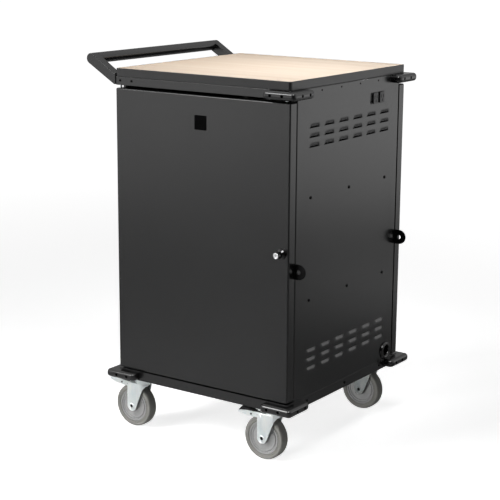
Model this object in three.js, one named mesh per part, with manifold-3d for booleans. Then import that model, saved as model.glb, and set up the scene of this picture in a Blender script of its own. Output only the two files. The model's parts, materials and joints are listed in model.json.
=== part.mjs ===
// Laptop charging cart: a steel cabinet on four swivel casters, with a front and a rear door,
// a laminate worktop, a push handle on the left and corner bumpers.
// Millimetres, +Z up. The front door faces -Y and the handle is at -X.
// The origin is on the floor, under the middle of the whole cart.
import * as THREE from "three";
import { mergeVertices } from "three/addons/utils/BufferGeometryUtils.js";
import Module from "manifold-3d";

const wasm = await Module();
wasm.setup();

// Cabinet
const cabinetWidth = 575;
const cabinetDepth = 592;
const doorHeight = 800;
const doorThickness = 28;
const sheet = 1.5;
const seat = 0.3;
const doorGap = 3;
const headGap = 8;
const railHeight = 23;
const railRecess = 2;
const panelReturn = 12;
const baseHeight = 27;
const baseWall = 2;
const baseLip = 14;

// Worktop
const boardThickness = 23;
const bandThickness = 3;
const boardCorner = 8;

// Side louvres
const louvreLength = 47;
const louvreHeight = 12;
const louvreDepth = 8;
const louvreColumns = 6;
const louvreRows = 3;
const louvreColumnPitch = 73;
const louvreRowPitch = 25.5;
const upperLouvreDrop = 67;
const lowerLouvreRise = 71.5;

// Shelves, divider racks and power strips
const lowerShelfRise = 265;
const upperShelfRise = 543;
const shelfFlange = 15;
const rackSlots = 8;
const rackWidth = 552;
const rackFrontSetback = 15;
const chargerBayDepth = 123.2;
const dividerHeight = 160;
const dividerCorner = 30;
const rackBackHeight = 190;
const stripLength = 480;
const stripHeight = 46;
const stripDepth = 38;
const stripRise = 90;
const socketSize = 26;
const socketRecess = 4;

// Side power outlet and cord grommet
const outletInset = 121;
const outletDrop = 26;
const outletPlateLength = 78;
const outletPlateHeight = 34;
const outletPlateThickness = 2;
const outletBodyLength = 68;
const outletBodyHeight = 26;
const outletBodyDepth = 25;
const receptacleSize = 28;
const receptaclePitch = 36;
const receptacleRelief = 1.5;
const bladeSlotLength = 8;
const bladeSlotWidth = 2;
const bladeSlotPitch = 12;
const grommetInset = 37;
const grommetRise = 23;
const grommetFlangeRadius = 23;
const grommetNeckRadius = 18;
const grommetBoreRadius = 14;
const grommetFlangeThickness = 5;
const grommetLip = 3;

// Push handle
const gripRadius = 15;
const gripReach = 89.5;
const gripRise = 20.5;
const armWidth = 26;
const armFootThickness = 7;
const armFootHeight = 32;
const armFootDrop = 22;

// Corner bumpers
const bumperLeg = 94;
const bumperOut = 24;
const bumperHeight = 23;
const bumperBevel = 6;
const bumperCorner = 3;
const topBumperDrop = 0.5;

// Door pivots, locks and hasps
const pinRadius = 3;
const pinInset = 7.5;
const pinReach = 12;
const pinHeadRadius = 5;
const pinHeadHeight = 2.5;
const lockInset = 24.5;
const lockRise = 406;
const lockOut = 25;
const lockRadius = 10;
const lockBarrelRadius = 8;
const lockChamfer = 1.5;
const plugRadius = 5;
const plugDiscRadius = 7;
const plugDiscThickness = 2.5;
const keywayWidth = 2;
const keywayLength = 7;
const keywayDepth = 1.2;
const camThickness = 2.5;
const camLength = 20;
const camWidth = 12;
const camClearance = 3;
const haspRise = 360;
const haspReach = 32.5;
const haspRadius = 22;
const haspHoleRadius = 5.5;
const haspThickness = 2.2;
const haspRoot = 12;

// Casters
const wheelRadius = 62.5;
const wheelWidth = 32;
const wheelClearance = 4;
const tyreInnerRadius = 47;
const tyreShoulder = 5;
const hubWebWidth = 12;
const hubRimDepth = 10;
const hubRimInset = 2;
const hubBossRadius = 15;
const axleRadius = 6;
const axleHeadRadius = 9;
const axleHeadHeight = 4;
const casterHeight = 151;
const casterInsetX = 60;
const casterInsetY = 38;
const casterTrail = 30;
const plateLength = 95;
const platePlanWidth = 72;
const plateThickness = 4;
const racewayRadius = 27;
const racewayHeight = 12;
const swivelGap = 0.5;
const kingpinRadius = 8;
const kingpinHeadRadius = 13;
const kingpinHeadHeight = 3.5;
const forkSheet = 3;
const forkTipRadius = 16;
const forkShoulder = 35;
const forkShoulderRise = 39;
const pedalPivotInset = 6;
const pedalPivotDrop = 4.5;
const pedalBarrelRadius = 3.5;
const pedalPinRadius = 2.2;
const pedalLength = 66;
const pedalRise = 5;
const pedalThickness = 5;
const pedalTipLength = 8;
const pedalTipRise = 7;
const pedalHalfWidth = 15;

// Smoothness of round shapes
const roundSegments = 16;
const wheelSegments = 20;
const arcSegments = 4;
const overlap = 1;

// Levels and faces worked out from the sizes above
const halfWidth = cabinetWidth / 2;
const halfDepth = cabinetDepth / 2;
const baseTop = casterHeight + baseHeight;
const doorBottom = baseTop + doorGap;
const doorTop = doorBottom + doorHeight;
const railBottom = doorTop + headGap;
const topSheet = railBottom + railHeight;
const boardBottom = topSheet + seat;
const boardTop = boardBottom + boardThickness;
const railFace = halfDepth - railRecess;
const doorBack = halfDepth - doorThickness;
const panelHalfDepth = doorBack - doorGap;
const panelBottom = baseTop + seat;
const panelTop = topSheet - sheet - seat;
const shelfHalfWidth = halfWidth - sheet - seat;
const shelfHalfDepth = panelHalfDepth - sheet - seat;
const rackBackY = shelfHalfDepth - chargerBayDepth;
const outletY = panelHalfDepth - outletInset;
const grommetY = panelHalfDepth - grommetInset;
const casterX = halfWidth - casterInsetX;
const casterY = halfDepth - casterInsetY;
const hingeX = -halfWidth + pinInset;
const hingeY = halfDepth - doorThickness / 2;
const lockX = halfWidth - lockInset;
const lockZ = doorBottom + lockRise;
const haspZ = doorBottom + haspRise;
const gripX = -halfWidth - gripReach;
const gripZ = boardTop + gripRise;
const leftReach = halfWidth + gripReach + gripRadius;
const rightReach = halfWidth + haspReach;

// Materials
const finish = (color, roughness, metalness) =>
  new THREE.MeshStandardMaterial({ color, roughness, metalness });
const powderCoat = finish("#2c2c2e", 0.55, 0.2);
const laminate = finish("#ecdcc6", 0.5, 0);
const edgeBand = finish("#1e1e1f", 0.6, 0);
const bumperPlastic = finish("#1a1a1b", 0.3, 0);
const blackPlastic = finish("#161617", 0.35, 0);
const zincPlate = finish("#c6cdd2", 0.35, 0.9);
const chromePlate = finish("#d6d8da", 0.15, 1);
const tyreRubber = finish("#7b7972", 0.7, 0);
const hubPlastic = finish("#a3a2a0", 0.5, 0);

// Solids for joining and cutting
function solidOf(geometry) {
  const bare = geometry.index ? geometry.toNonIndexed() : geometry.clone();
  bare.deleteAttribute("normal");
  bare.deleteAttribute("uv");
  const merged = mergeVertices(bare, 1e-4);
  const vertProperties = merged.attributes.position.array;
  const triVerts = new Uint32Array(merged.index.array);
  return new wasm.Manifold(new wasm.Mesh({ numProp: 3, vertProperties, triVerts }));
}

function geometryOf(solid) {
  const { vertProperties, triVerts } = solid.getMesh();
  const geometry = new THREE.BufferGeometry();
  geometry.setAttribute("position", new THREE.Float32BufferAttribute(vertProperties, 3));
  geometry.setIndex(Array.from(triVerts));
  geometry.computeVertexNormals();
  return geometry;
}

function join(first, ...others) {
  const whole = others.reduce((sum, piece) => sum.add(solidOf(piece)), solidOf(first));
  return geometryOf(whole);
}

function cut(body, ...tools) {
  const rest = tools.reduce((left, tool) => left.subtract(solidOf(tool)), solidOf(body));
  return geometryOf(rest);
}

// A box between two corners
function block([x0, x1], [y0, y1], [z0, z1]) {
  const geometry = new THREE.BoxGeometry(x1 - x0, y1 - y0, z1 - z0);
  return geometry.translate((x0 + x1) / 2, (y0 + y1) / 2, (z0 + z1) / 2);
}

// The span that reaches the same distance to both sides of a middle
const about = (middle, half) => [middle - half, middle + half];

function outline(points) {
  return new THREE.Shape(points.map(([x, y]) => new THREE.Vector2(x, y)));
}

function extruded(shape, length) {
  return new THREE.ExtrudeGeometry(shape, {
    depth: length,
    bevelEnabled: false,
    curveSegments: arcSegments,
  });
}

// Extrusions of an XY, an XZ or a YZ outline along the remaining axis
function alongZ(shape, [z0, z1]) {
  return extruded(shape, z1 - z0).translate(0, 0, z0);
}

function alongY(shape, [y0, y1]) {
  return extruded(shape, y1 - y0)
    .rotateX(Math.PI / 2)
    .translate(0, y1, 0);
}

function alongX(shape, [x0, x1]) {
  return extruded(shape, x1 - x0)
    .rotateZ(Math.PI / 2)
    .rotateY(Math.PI / 2)
    .translate(x0, 0, 0);
}

// A profile of [radius, place] pairs turned around the Y axis
function turned(profile, segments = roundSegments) {
  const points = profile.map(([radius, place]) => new THREE.Vector2(radius, place));
  if (THREE.ShapeUtils.area(points) < 0) {
    points.reverse();
  }
  return new THREE.LatheGeometry(points, segments);
}

function ring(profile, segments) {
  return turned([...profile, profile[0]], segments);
}

function rod(radius, [y0, y1], segments) {
  return turned([[0, y0], [radius, y0], [radius, y1], [0, y1]], segments);
}

function uprightRod(radius, [z0, z1], segments) {
  return rod(radius, [z0, z1], segments).rotateX(Math.PI / 2);
}

function roundedRectangle(width, depth, corner) {
  const [x, y] = [width / 2, depth / 2];
  const shape = new THREE.Shape();
  shape.moveTo(-x + corner, -y);
  shape.lineTo(x - corner, -y);
  shape.absarc(x - corner, -y + corner, corner, -Math.PI / 2, 0, false);
  shape.lineTo(x, y - corner);
  shape.absarc(x - corner, y - corner, corner, 0, Math.PI / 2, false);
  shape.lineTo(-x + corner, y);
  shape.absarc(-x + corner, y - corner, corner, Math.PI / 2, Math.PI, false);
  shape.lineTo(-x, -y + corner);
  shape.absarc(-x + corner, -y + corner, corner, Math.PI, 1.5 * Math.PI, false);
  return shape;
}

// The whole cart, moved so that the origin is under its middle
const cart = new THREE.Group();
cart.name = "laptop_charging_cart";
cart.position.x = (leftReach - rightReach) / 2;

function add(name, geometry, material, parent = cart) {
  const mesh = new THREE.Mesh(geometry, material);
  mesh.name = name;
  parent.add(mesh);
}

// Base pan: a shallow box with a lip around its top and a welded stud under each door pivot
function basePan() {
  const shell = block(about(0, halfWidth), about(0, halfDepth), [casterHeight, baseTop]);
  const hollow = block(
    about(0, halfWidth - baseWall),
    about(0, halfDepth - baseWall),
    [casterHeight + baseWall, baseTop - baseWall],
  );
  const mouth = block(
    about(0, halfWidth - baseLip),
    about(0, panelHalfDepth - baseLip),
    [baseTop - baseWall - overlap, baseTop + overlap],
  );
  const studSpan = [baseTop - baseWall / 2, doorBottom + pinReach];
  const studs = [-1, 1].map((side) =>
    uprightRod(pinRadius, studSpan).translate(hingeX, side * hingeY, 0),
  );
  return join(cut(shell, hollow, mouth), ...studs);
}

// Louvres of one side panel, as openings and as the blades pressed in behind them.
// The upper blades lean in towards their lower edge, the lower blades towards their upper edge.
function louvrePlaces() {
  const places = [];
  for (let row = 0; row < louvreRows; row += 1) {
    for (let column = 0; column < louvreColumns; column += 1) {
      const y = (column - (louvreColumns - 1) / 2) * louvreColumnPitch;
      places.push({ y, z: doorTop - upperLouvreDrop - row * louvreRowPitch, lean: -1 });
      places.push({ y, z: doorBottom + lowerLouvreRise + row * louvreRowPitch, lean: 1 });
    }
  }
  return places;
}

function louvreOpening(outer, { y, z }) {
  const wall = about(outer - sheet / 2, sheet);
  return block(wall, about(y, louvreLength / 2), about(z, louvreHeight / 2));
}

function louvreBlade(outer, { y, z, lean }) {
  const root = z - lean * (louvreHeight / 2 + overlap);
  const tip = z + (lean * louvreHeight) / 2;
  const inset = sheet / 5;
  const blade = outline([
    [outer - inset, root],
    [outer - sheet + inset, root],
    [outer - louvreDepth - sheet, tip],
    [outer - louvreDepth, tip],
  ]);
  return alongY(blade, about(y, louvreLength / 2));
}

function sidePanel(...holes) {
  const folded = outline([
    [halfWidth, -panelHalfDepth],
    [halfWidth, panelHalfDepth],
    [halfWidth - panelReturn, panelHalfDepth],
    [halfWidth - panelReturn, panelHalfDepth - sheet],
    [halfWidth - sheet, panelHalfDepth - sheet],
    [halfWidth - sheet, -panelHalfDepth + sheet],
    [halfWidth - panelReturn, -panelHalfDepth + sheet],
    [halfWidth - panelReturn, -panelHalfDepth],
  ]);
  const places = louvrePlaces();
  const openings = places.map((place) => louvreOpening(halfWidth, place));
  const blades = places.map((place) => louvreBlade(halfWidth, place));
  const pierced = cut(alongZ(folded, [panelBottom, panelTop]), ...openings, ...holes);
  return join(pierced, ...blades);
}

// Top pan: a sheet over the cabinet, folded down into a rail above each door
function topPan() {
  const lip = railFace - doorBack;
  const half = [
    [railFace, topSheet],
    [railFace, railBottom],
    [railFace - lip, railBottom],
    [railFace - lip, railBottom + sheet],
    [railFace - sheet, railBottom + sheet],
    [railFace - sheet, topSheet - sheet],
  ];
  const mirrored = half.map(([y, z]) => [-y, z]).reverse();
  const pan = alongX(outline([...half, ...mirrored]), about(0, halfWidth));
  const pinHoles = [-1, 1].map((side) =>
    uprightRod(pinRadius + seat, [railBottom - overlap, railBottom + sheet + overlap]).translate(
      hingeX,
      side * hingeY,
      0,
    ),
  );
  return cut(pan, ...pinHoles);
}

function worktopBoard() {
  const inset = 2 * (bandThickness + seat);
  const corner = boardCorner - bandThickness - seat;
  const shape = roundedRectangle(cabinetWidth - inset, cabinetDepth - inset, corner);
  return alongZ(shape, [boardBottom, boardTop]);
}

function worktopEdgeBand() {
  const shape = roundedRectangle(cabinetWidth, cabinetDepth, boardCorner);
  const inset = 2 * bandThickness;
  shape.holes.push(
    roundedRectangle(cabinetWidth - inset, cabinetDepth - inset, boardCorner - bandThickness),
  );
  return alongZ(shape, [boardBottom, boardTop]);
}

// A shelf is a sheet with its front and rear edges folded down
function shelf(top) {
  const folded = outline([
    [-shelfHalfDepth, top],
    [-shelfHalfDepth, top - shelfFlange],
    [-shelfHalfDepth + sheet, top - shelfFlange],
    [-shelfHalfDepth + sheet, top - sheet],
    [shelfHalfDepth - sheet, top - sheet],
    [shelfHalfDepth - sheet, top - shelfFlange],
    [shelfHalfDepth, top - shelfFlange],
    [shelfHalfDepth, top],
  ]);
  return alongX(folded, about(0, shelfHalfWidth));
}

// A divider rack: a floor, upright dividers between the device slots, and a back plate
function dividerRack(floor) {
  const front = -shelfHalfDepth + rackFrontSetback;
  const wide = about(0, rackWidth / 2);
  const base = block(wide, [front, rackBackY], [floor, floor + sheet]);
  const back = block(wide, [rackBackY - sheet, rackBackY], [floor, floor + rackBackHeight]);
  const top = floor + dividerHeight;
  const plate = outline([
    [front, floor + sheet / 2],
    [rackBackY - sheet / 2, floor + sheet / 2],
    [rackBackY - sheet / 2, top],
    [front + dividerCorner, top],
    [front, top - dividerCorner],
  ]);
  const pitch = rackWidth / rackSlots;
  const dividers = [];
  for (let index = 1; index < rackSlots; index += 1) {
    dividers.push(alongX(plate, about(-rackWidth / 2 + index * pitch, sheet / 2)));
  }
  return join(base, back, ...dividers);
}

// A power strip on the back of a rack, with one socket for each device slot
function powerStrip(floor) {
  const face = rackBackY + seat + stripDepth;
  const middle = floor + stripRise;
  const body = block(
    about(0, stripLength / 2),
    [rackBackY + seat, face],
    about(middle, stripHeight / 2),
  );
  const pitch = stripLength / rackSlots;
  const sockets = [];
  for (let index = 0; index < rackSlots; index += 1) {
    const x = (index - (rackSlots - 1) / 2) * pitch;
    sockets.push(
      block(about(x, socketSize / 2), [face - socketRecess, face + overlap], about(middle, socketSize / 2)),
    );
  }
  return cut(body, ...sockets);
}

// Side outlet: a plate with two raised receptacles, and the body behind it
const outletZ = doorTop - outletDrop;

function outletHole() {
  return block(
    about(halfWidth, 2 * sheet),
    about(outletY, outletBodyLength / 2 + seat),
    about(outletZ, outletBodyHeight / 2 + seat),
  );
}

function sideOutlet() {
  const plateFace = halfWidth + seat + outletPlateThickness;
  const face = plateFace + receptacleRelief;
  const plate = block(
    [halfWidth + seat, plateFace],
    about(outletY, outletPlateLength / 2),
    about(outletZ, outletPlateHeight / 2),
  );
  const body = block(
    [halfWidth - outletBodyDepth, plateFace - overlap],
    about(outletY, outletBodyLength / 2),
    about(outletZ, outletBodyHeight / 2),
  );
  const faces = [];
  const slots = [];
  for (const side of [-1, 1]) {
    const y = outletY + (side * receptaclePitch) / 2;
    const square = about(outletZ, receptacleSize / 2);
    faces.push(block([plateFace - overlap, face], about(y, receptacleSize / 2), square));
    for (const slotSide of [-1, 1]) {
      const slotY = y + (slotSide * bladeSlotPitch) / 2;
      slots.push(
        block(
          [plateFace, face + overlap],
          about(slotY, bladeSlotWidth / 2),
          about(outletZ, bladeSlotLength / 2),
        ),
      );
    }
  }
  return cut(join(plate, body, ...faces), ...slots);
}

// Cord grommet: a flanged ring that snaps into the side panel
const grommetZ = doorBottom + grommetRise;

function atGrommet(geometry) {
  return geometry.rotateZ(-Math.PI / 2).translate(halfWidth, grommetY, grommetZ);
}

function grommetHole() {
  return atGrommet(rod(grommetNeckRadius + seat, about(0, 2 * sheet)));
}

function cordGrommet() {
  const inner = -sheet - seat;
  return atGrommet(
    ring([
      [grommetBoreRadius, inner - grommetLip],
      [grommetNeckRadius, inner - grommetLip],
      [grommetNeckRadius + grommetLip, inner],
      [grommetNeckRadius, inner],
      [grommetNeckRadius, seat],
      [grommetFlangeRadius, seat],
      [grommetFlangeRadius, seat + grommetFlangeThickness / 2],
      [grommetFlangeRadius - grommetFlangeThickness / 2, seat + grommetFlangeThickness],
      [grommetBoreRadius, seat + grommetFlangeThickness],
    ]),
  );
}

// Where a line from a point touches a circle, on its upper (+1) or lower (-1) side as seen from the point
function tangentAngle([x, z], [cx, cz], radius, side) {
  const away = Math.atan2(z - cz, x - cx);
  return away + side * Math.acos(radius / Math.hypot(x - cx, z - cz));
}

// Handle arm: a foot on the cabinet's side and a flat tube that rises to the grip
function handleArm() {
  const inner = -halfWidth - seat;
  const outer = inner - armFootThickness;
  const low = topSheet - armFootDrop;
  const high = low + armFootHeight;
  const centre = [gripX, gripZ];
  const upper = tangentAngle([outer, high], centre, gripRadius, 1);
  const lower = tangentAngle([outer, low], centre, gripRadius, -1);
  const shape = new THREE.Shape();
  shape.moveTo(inner, low);
  shape.lineTo(inner, high);
  shape.lineTo(outer, high);
  shape.absarc(gripX, gripZ, gripRadius, upper, lower, false);
  shape.lineTo(outer, low);
  return alongY(shape, about(0, armWidth / 2));
}

function handleGrip() {
  const half = halfDepth - armWidth - seat;
  return rod(gripRadius, about(0, half), wheelSegments).translate(gripX, 0, gripZ);
}

// Corner bumper: an L with bevelled edges and round ends, cut to sit on an outside corner at the origin
function cornerBumper() {
  const flat = bumperOut - bumperBevel;
  const reach = bumperLeg - bumperOut - bumperBevel;
  const end = flat / 2;
  const depth = bumperBevel + overlap;
  const shape = new THREE.Shape();
  shape.moveTo(flat - bumperCorner, -flat);
  shape.absarc(flat - bumperCorner, -flat + bumperCorner, bumperCorner, -Math.PI / 2, 0, false);
  shape.lineTo(flat, reach - end);
  shape.absarc(flat - end, reach - end, end, 0, Math.PI / 2, false);
  shape.lineTo(-depth, reach);
  shape.lineTo(-depth, depth);
  shape.lineTo(-reach, depth);
  shape.lineTo(-reach, -flat + end);
  shape.absarc(-reach + end, -flat + end, end, Math.PI, 1.5 * Math.PI, false);
  const bevelled = new THREE.ExtrudeGeometry(shape, {
    depth: bumperHeight - 2 * bumperBevel,
    bevelThickness: bumperBevel,
    bevelSize: bumperBevel,
    bevelSegments: 1,
    curveSegments: arcSegments,
  }).translate(0, 0, bumperBevel - bumperHeight / 2);
  const corner = block([-2 * bumperLeg, seat], [-seat, 2 * bumperLeg], about(0, bumperHeight));
  return cut(bevelled, corner);
}

// Upper hinge pin: it drops through the rail's lip into the door, and its head rests on the lip
function hingePin() {
  const ledge = railBottom + sheet + seat;
  return turned([
    [0, doorTop - pinReach],
    [pinRadius, doorTop - pinReach],
    [pinRadius, ledge],
    [pinHeadRadius, ledge],
    [pinHeadRadius, ledge + pinHeadHeight],
    [0, ledge + pinHeadHeight],
  ]).rotateX(Math.PI / 2);
}

// Doors: side is -1 for the front door and +1 for the rear door
const layer = (side, a, b) => [side * a, side * b].sort((first, second) => first - second);

function doorPan(side) {
  const shell = block(about(0, halfWidth), layer(side, halfDepth, doorBack), [doorBottom, doorTop]);
  const hollow = block(
    about(0, halfWidth - sheet),
    layer(side, halfDepth - sheet, doorBack - overlap),
    [doorBottom + sheet, doorTop - sheet],
  );
  const pivots = uprightRod(pinRadius + seat, [doorBottom - overlap, doorTop + overlap]);
  const lockSpan = layer(side, halfDepth + overlap, halfDepth - sheet - overlap);
  const lockHole = rod(lockBarrelRadius + seat, lockSpan);
  const haspNotch = block(
    about(halfWidth, 2 * sheet),
    layer(side, doorBack + haspThickness + seat, doorBack - overlap),
    about(haspZ, haspRadius + seat),
  );
  return cut(
    shell,
    hollow,
    pivots.translate(hingeX, side * hingeY, 0),
    lockHole.translate(lockX, 0, lockZ),
    haspNotch,
  );
}

// Lock profiles run along the lock's axis, with zero at the door's face and plus towards the outside
function atLock(geometry, side) {
  const facing = side > 0 ? geometry : geometry.rotateZ(Math.PI);
  return facing.translate(lockX, side * halfDepth, lockZ);
}

const camFront = -(doorThickness + doorGap + sheet + camClearance);

function lockBody(side) {
  const shelfPlace = lockOut - plugDiscThickness - seat;
  const bore = plugRadius + seat;
  const recess = plugDiscRadius + seat;
  const body = ring([
    [bore, camFront + seat],
    [lockBarrelRadius, camFront + seat],
    [lockBarrelRadius, seat],
    [lockRadius, seat],
    [lockRadius, lockOut - lockChamfer],
    [lockRadius - lockChamfer, lockOut],
    [recess, lockOut],
    [recess, shelfPlace],
    [bore, shelfPlace],
  ]);
  return atLock(body, side);
}

// The plug carries the keyway in front and, behind the panel's return, the cam that turns with it
function lockPlug(side) {
  const plug = turned([
    [0, camFront - camThickness],
    [plugRadius, camFront - camThickness],
    [plugRadius, lockOut - plugDiscThickness],
    [plugDiscRadius, lockOut - plugDiscThickness],
    [plugDiscRadius, lockOut],
    [0, lockOut],
  ]);
  const tab = new THREE.Shape();
  tab.absarc(0, 0, camWidth / 2, Math.PI, 2 * Math.PI, false);
  tab.lineTo(camWidth / 2, camLength);
  tab.lineTo(-camWidth / 2, camLength);
  const cam = alongY(tab, [camFront - camThickness, camFront]);
  const keyway = block(
    about(0, keywayWidth / 2),
    [lockOut - keywayDepth, lockOut + overlap],
    about(0, keywayLength / 2),
  );
  return atLock(cut(join(plug, cam), keyway), side);
}

// A padlock hasp is a half-round tab with a hole, standing out at the edge between door and cabinet
function hasp(root, span) {
  const centre = halfWidth + haspReach - haspRadius;
  const tab = new THREE.Shape();
  tab.moveTo(root, haspZ - haspRadius);
  tab.lineTo(centre, haspZ - haspRadius);
  tab.absarc(centre, haspZ, haspRadius, -Math.PI / 2, Math.PI / 2, false);
  tab.lineTo(root, haspZ + haspRadius);
  const hole = new THREE.Path();
  hole.absarc(centre, haspZ, haspHoleRadius, 0, 2 * Math.PI, true);
  tab.holes.push(hole);
  return alongY(tab, span);
}

function doorHasp(side) {
  return hasp(halfWidth - haspRoot, layer(side, doorBack, doorBack + haspThickness));
}

function cabinetHasp(side) {
  const seatFace = panelHalfDepth + seat;
  return hasp(halfWidth - panelReturn, layer(side, seatFace, seatFace + haspThickness));
}

// Casters are built around their swivel axis, with the wheel trailing towards -X
const legInner = wheelWidth / 2 + wheelClearance;
const legOuter = legInner + forkSheet;
const plateTop = casterHeight - seat;
const plateBottom = plateTop - plateThickness;
const racewayTop = plateBottom - swivelGap;
const bridgeTop = racewayTop - racewayHeight;
const bridgeBottom = bridgeTop - forkSheet;
const pedalX = -casterTrail - forkTipRadius + pedalPivotInset;
const pedalZ = bridgeTop - pedalPivotDrop;

function casterPlate() {
  const plate = block(about(0, plateLength / 2), about(0, platePlanWidth / 2), [plateBottom, plateTop]);
  const headTop = bridgeBottom - swivelGap;
  const kingpin = uprightRod(kingpinRadius, [headTop - overlap, plateBottom + overlap]);
  const head = uprightRod(kingpinHeadRadius, [headTop - kingpinHeadHeight, headTop]);
  return join(plate, kingpin, head);
}

function casterFork(braked) {
  const left = -casterTrail - forkTipRadius;
  const right = -casterTrail + forkShoulder;
  const shoulder = wheelRadius + forkShoulderRise;
  const centre = [-casterTrail, wheelRadius];
  const slope = tangentAngle([right, shoulder], centre, forkTipRadius, -1);
  const leg = new THREE.Shape();
  leg.moveTo(left, bridgeTop);
  leg.absarc(-casterTrail, wheelRadius, forkTipRadius, Math.PI, 2 * Math.PI + slope, false);
  leg.lineTo(right, shoulder);
  leg.lineTo(right, bridgeTop);
  const legs = [-1, 1].map((side) => alongY(leg, layer(side, legInner, legOuter)));
  const bridge = block([left, racewayRadius], about(0, legOuter), [bridgeBottom, bridgeTop]);
  const raceway = uprightRod(racewayRadius, [bridgeTop - overlap, racewayTop], wheelSegments);
  const kingpinHole = uprightRod(kingpinRadius + seat, [bridgeBottom - overlap, racewayTop + overlap]);
  const across = about(0, legOuter + overlap);
  const axleHole = rod(axleRadius + seat, across).translate(-casterTrail, 0, wheelRadius);
  const holes = [kingpinHole, axleHole];
  if (braked) {
    const notch = block(
      [left - overlap, pedalX + pedalPivotInset],
      about(0, legInner),
      [bridgeBottom - overlap, bridgeTop + overlap],
    );
    holes.push(notch, rod(pedalPinRadius + seat, across).translate(pedalX, 0, pedalZ));
  }
  return cut(join(bridge, raceway, ...legs), ...holes);
}

function casterAxle() {
  const inner = legOuter + seat;
  const outer = inner + axleHeadHeight;
  return turned([
    [0, -outer],
    [axleHeadRadius, -outer],
    [axleHeadRadius, -inner],
    [axleRadius, -inner],
    [axleRadius, inner],
    [axleHeadRadius, inner],
    [axleHeadRadius, outer],
    [0, outer],
  ]).translate(-casterTrail, 0, wheelRadius);
}

function wheelHub() {
  const rim = tyreInnerRadius - seat;
  const rimInner = rim - hubRimDepth;
  const boss = wheelWidth / 2 + wheelClearance / 2;
  const web = hubWebWidth / 2;
  const edge = wheelWidth / 2 - hubRimInset;
  const half = [
    [axleRadius + seat, -boss],
    [hubBossRadius, -boss],
    [hubBossRadius, -web],
    [rimInner, -web],
    [rimInner, -edge],
    [rim, -edge],
  ];
  const mirrored = half.map(([radius, place]) => [radius, -place]).reverse();
  return ring([...half, ...mirrored], wheelSegments).translate(-casterTrail, 0, wheelRadius);
}

function wheelTyre() {
  const edge = wheelWidth / 2;
  const shoulder = wheelRadius - tyreShoulder;
  const crown = wheelRadius - tyreShoulder / 4;
  const half = [
    [tyreInnerRadius, hubRimInset - edge],
    [shoulder, -edge],
    [crown, tyreShoulder - edge],
    [wheelRadius, 2 * tyreShoulder - edge],
  ];
  const mirrored = half.map(([radius, place]) => [radius, -place]).reverse();
  return ring([...half, ...mirrored], wheelSegments).translate(-casterTrail, 0, wheelRadius);
}

// Brake pedal: a tongue with a turned-up tip, on a barrel and pin between the fork's legs
function brakePedal() {
  const tip = -pedalLength;
  const end = tip - pedalTipLength;
  const top = pedalRise + pedalThickness;
  const tongue = outline([
    [0, -pedalBarrelRadius],
    [tip, pedalRise],
    [end, pedalRise + pedalTipRise],
    [end, top + pedalTipRise],
    [tip, top],
    [0, pedalBarrelRadius],
  ]);
  const barrel = rod(pedalBarrelRadius, about(0, legInner - seat));
  const pin = rod(pedalPinRadius, about(0, legOuter));
  const plate = alongY(tongue, about(0, pedalHalfWidth));
  return join(plate, barrel, pin).translate(pedalX, 0, pedalZ);
}

function addCaster(name, x, y, braked) {
  const place = new THREE.Group();
  place.position.set(x, y, 0);
  cart.add(place);
  add(`${name}_caster_plate`, casterPlate(), zincPlate, place);
  add(`${name}_caster_fork`, casterFork(braked), zincPlate, place);
  add(`${name}_caster_axle`, casterAxle(), zincPlate, place);
  add(`${name}_wheel_hub`, wheelHub(), hubPlastic, place);
  add(`${name}_wheel_tyre`, wheelTyre(), tyreRubber, place);
  if (braked) {
    add(`${name}_brake_pedal`, brakePedal(), zincPlate, place);
  }
}

// A bumper at the corner (x, y), turned by quarters so that its legs lie along that corner's two faces
function addBumper(name, x, y, z, quarters) {
  const bumper = cornerBumper().rotateZ((quarters * Math.PI) / 2);
  add(name, bumper.translate(x, y, z), bumperPlastic);
}

// Cabinet shell
add("base_pan", basePan(), powderCoat);
add("right_side_panel", sidePanel(outletHole(), grommetHole()), powderCoat);
add("left_side_panel", sidePanel().rotateZ(Math.PI), powderCoat);
add("top_pan", topPan(), powderCoat);
add("worktop_board", worktopBoard(), laminate);
add("worktop_edge_band", worktopEdgeBand(), edgeBand);

// Inside: two shelves, and on each of the three floors a rack with its power strip
const lowerShelfTop = doorBottom + lowerShelfRise;
const upperShelfTop = doorBottom + upperShelfRise;
add("lower_shelf", shelf(lowerShelfTop), powderCoat);
add("upper_shelf", shelf(upperShelfTop), powderCoat);
const floors = { lower: baseTop, middle: lowerShelfTop, upper: upperShelfTop };
for (const [tier, floor] of Object.entries(floors)) {
  add(`${tier}_divider_rack`, dividerRack(floor + seat), powderCoat);
  add(`${tier}_power_strip`, powerStrip(floor + seat), blackPlastic);
}

// Side outlet and cord grommet
add("side_outlet", sideOutlet(), blackPlastic);
add("cord_grommet", cordGrommet(), blackPlastic);

// Push handle
const armY = halfDepth - armWidth / 2;
add("handle_front_arm", handleArm().translate(0, -armY, 0), powderCoat);
add("handle_rear_arm", handleArm().translate(0, armY, 0), powderCoat);
add("handle_grip", handleGrip(), powderCoat);

// Bumpers on the four base corners and on the two upper corners away from the handle
const baseBumperZ = casterHeight + baseHeight / 2;
const topBumperZ = railBottom + railHeight / 2 - topBumperDrop;
addBumper("front_right_base_bumper", halfWidth, -halfDepth, baseBumperZ, 0);
addBumper("rear_right_base_bumper", halfWidth, halfDepth, baseBumperZ, 1);
addBumper("rear_left_base_bumper", -halfWidth, halfDepth, baseBumperZ, 2);
addBumper("front_left_base_bumper", -halfWidth, -halfDepth, baseBumperZ, 3);
addBumper("front_right_top_bumper", halfWidth, -railFace, topBumperZ, 0);
addBumper("rear_right_top_bumper", halfWidth, railFace, topBumperZ, 1);

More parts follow.
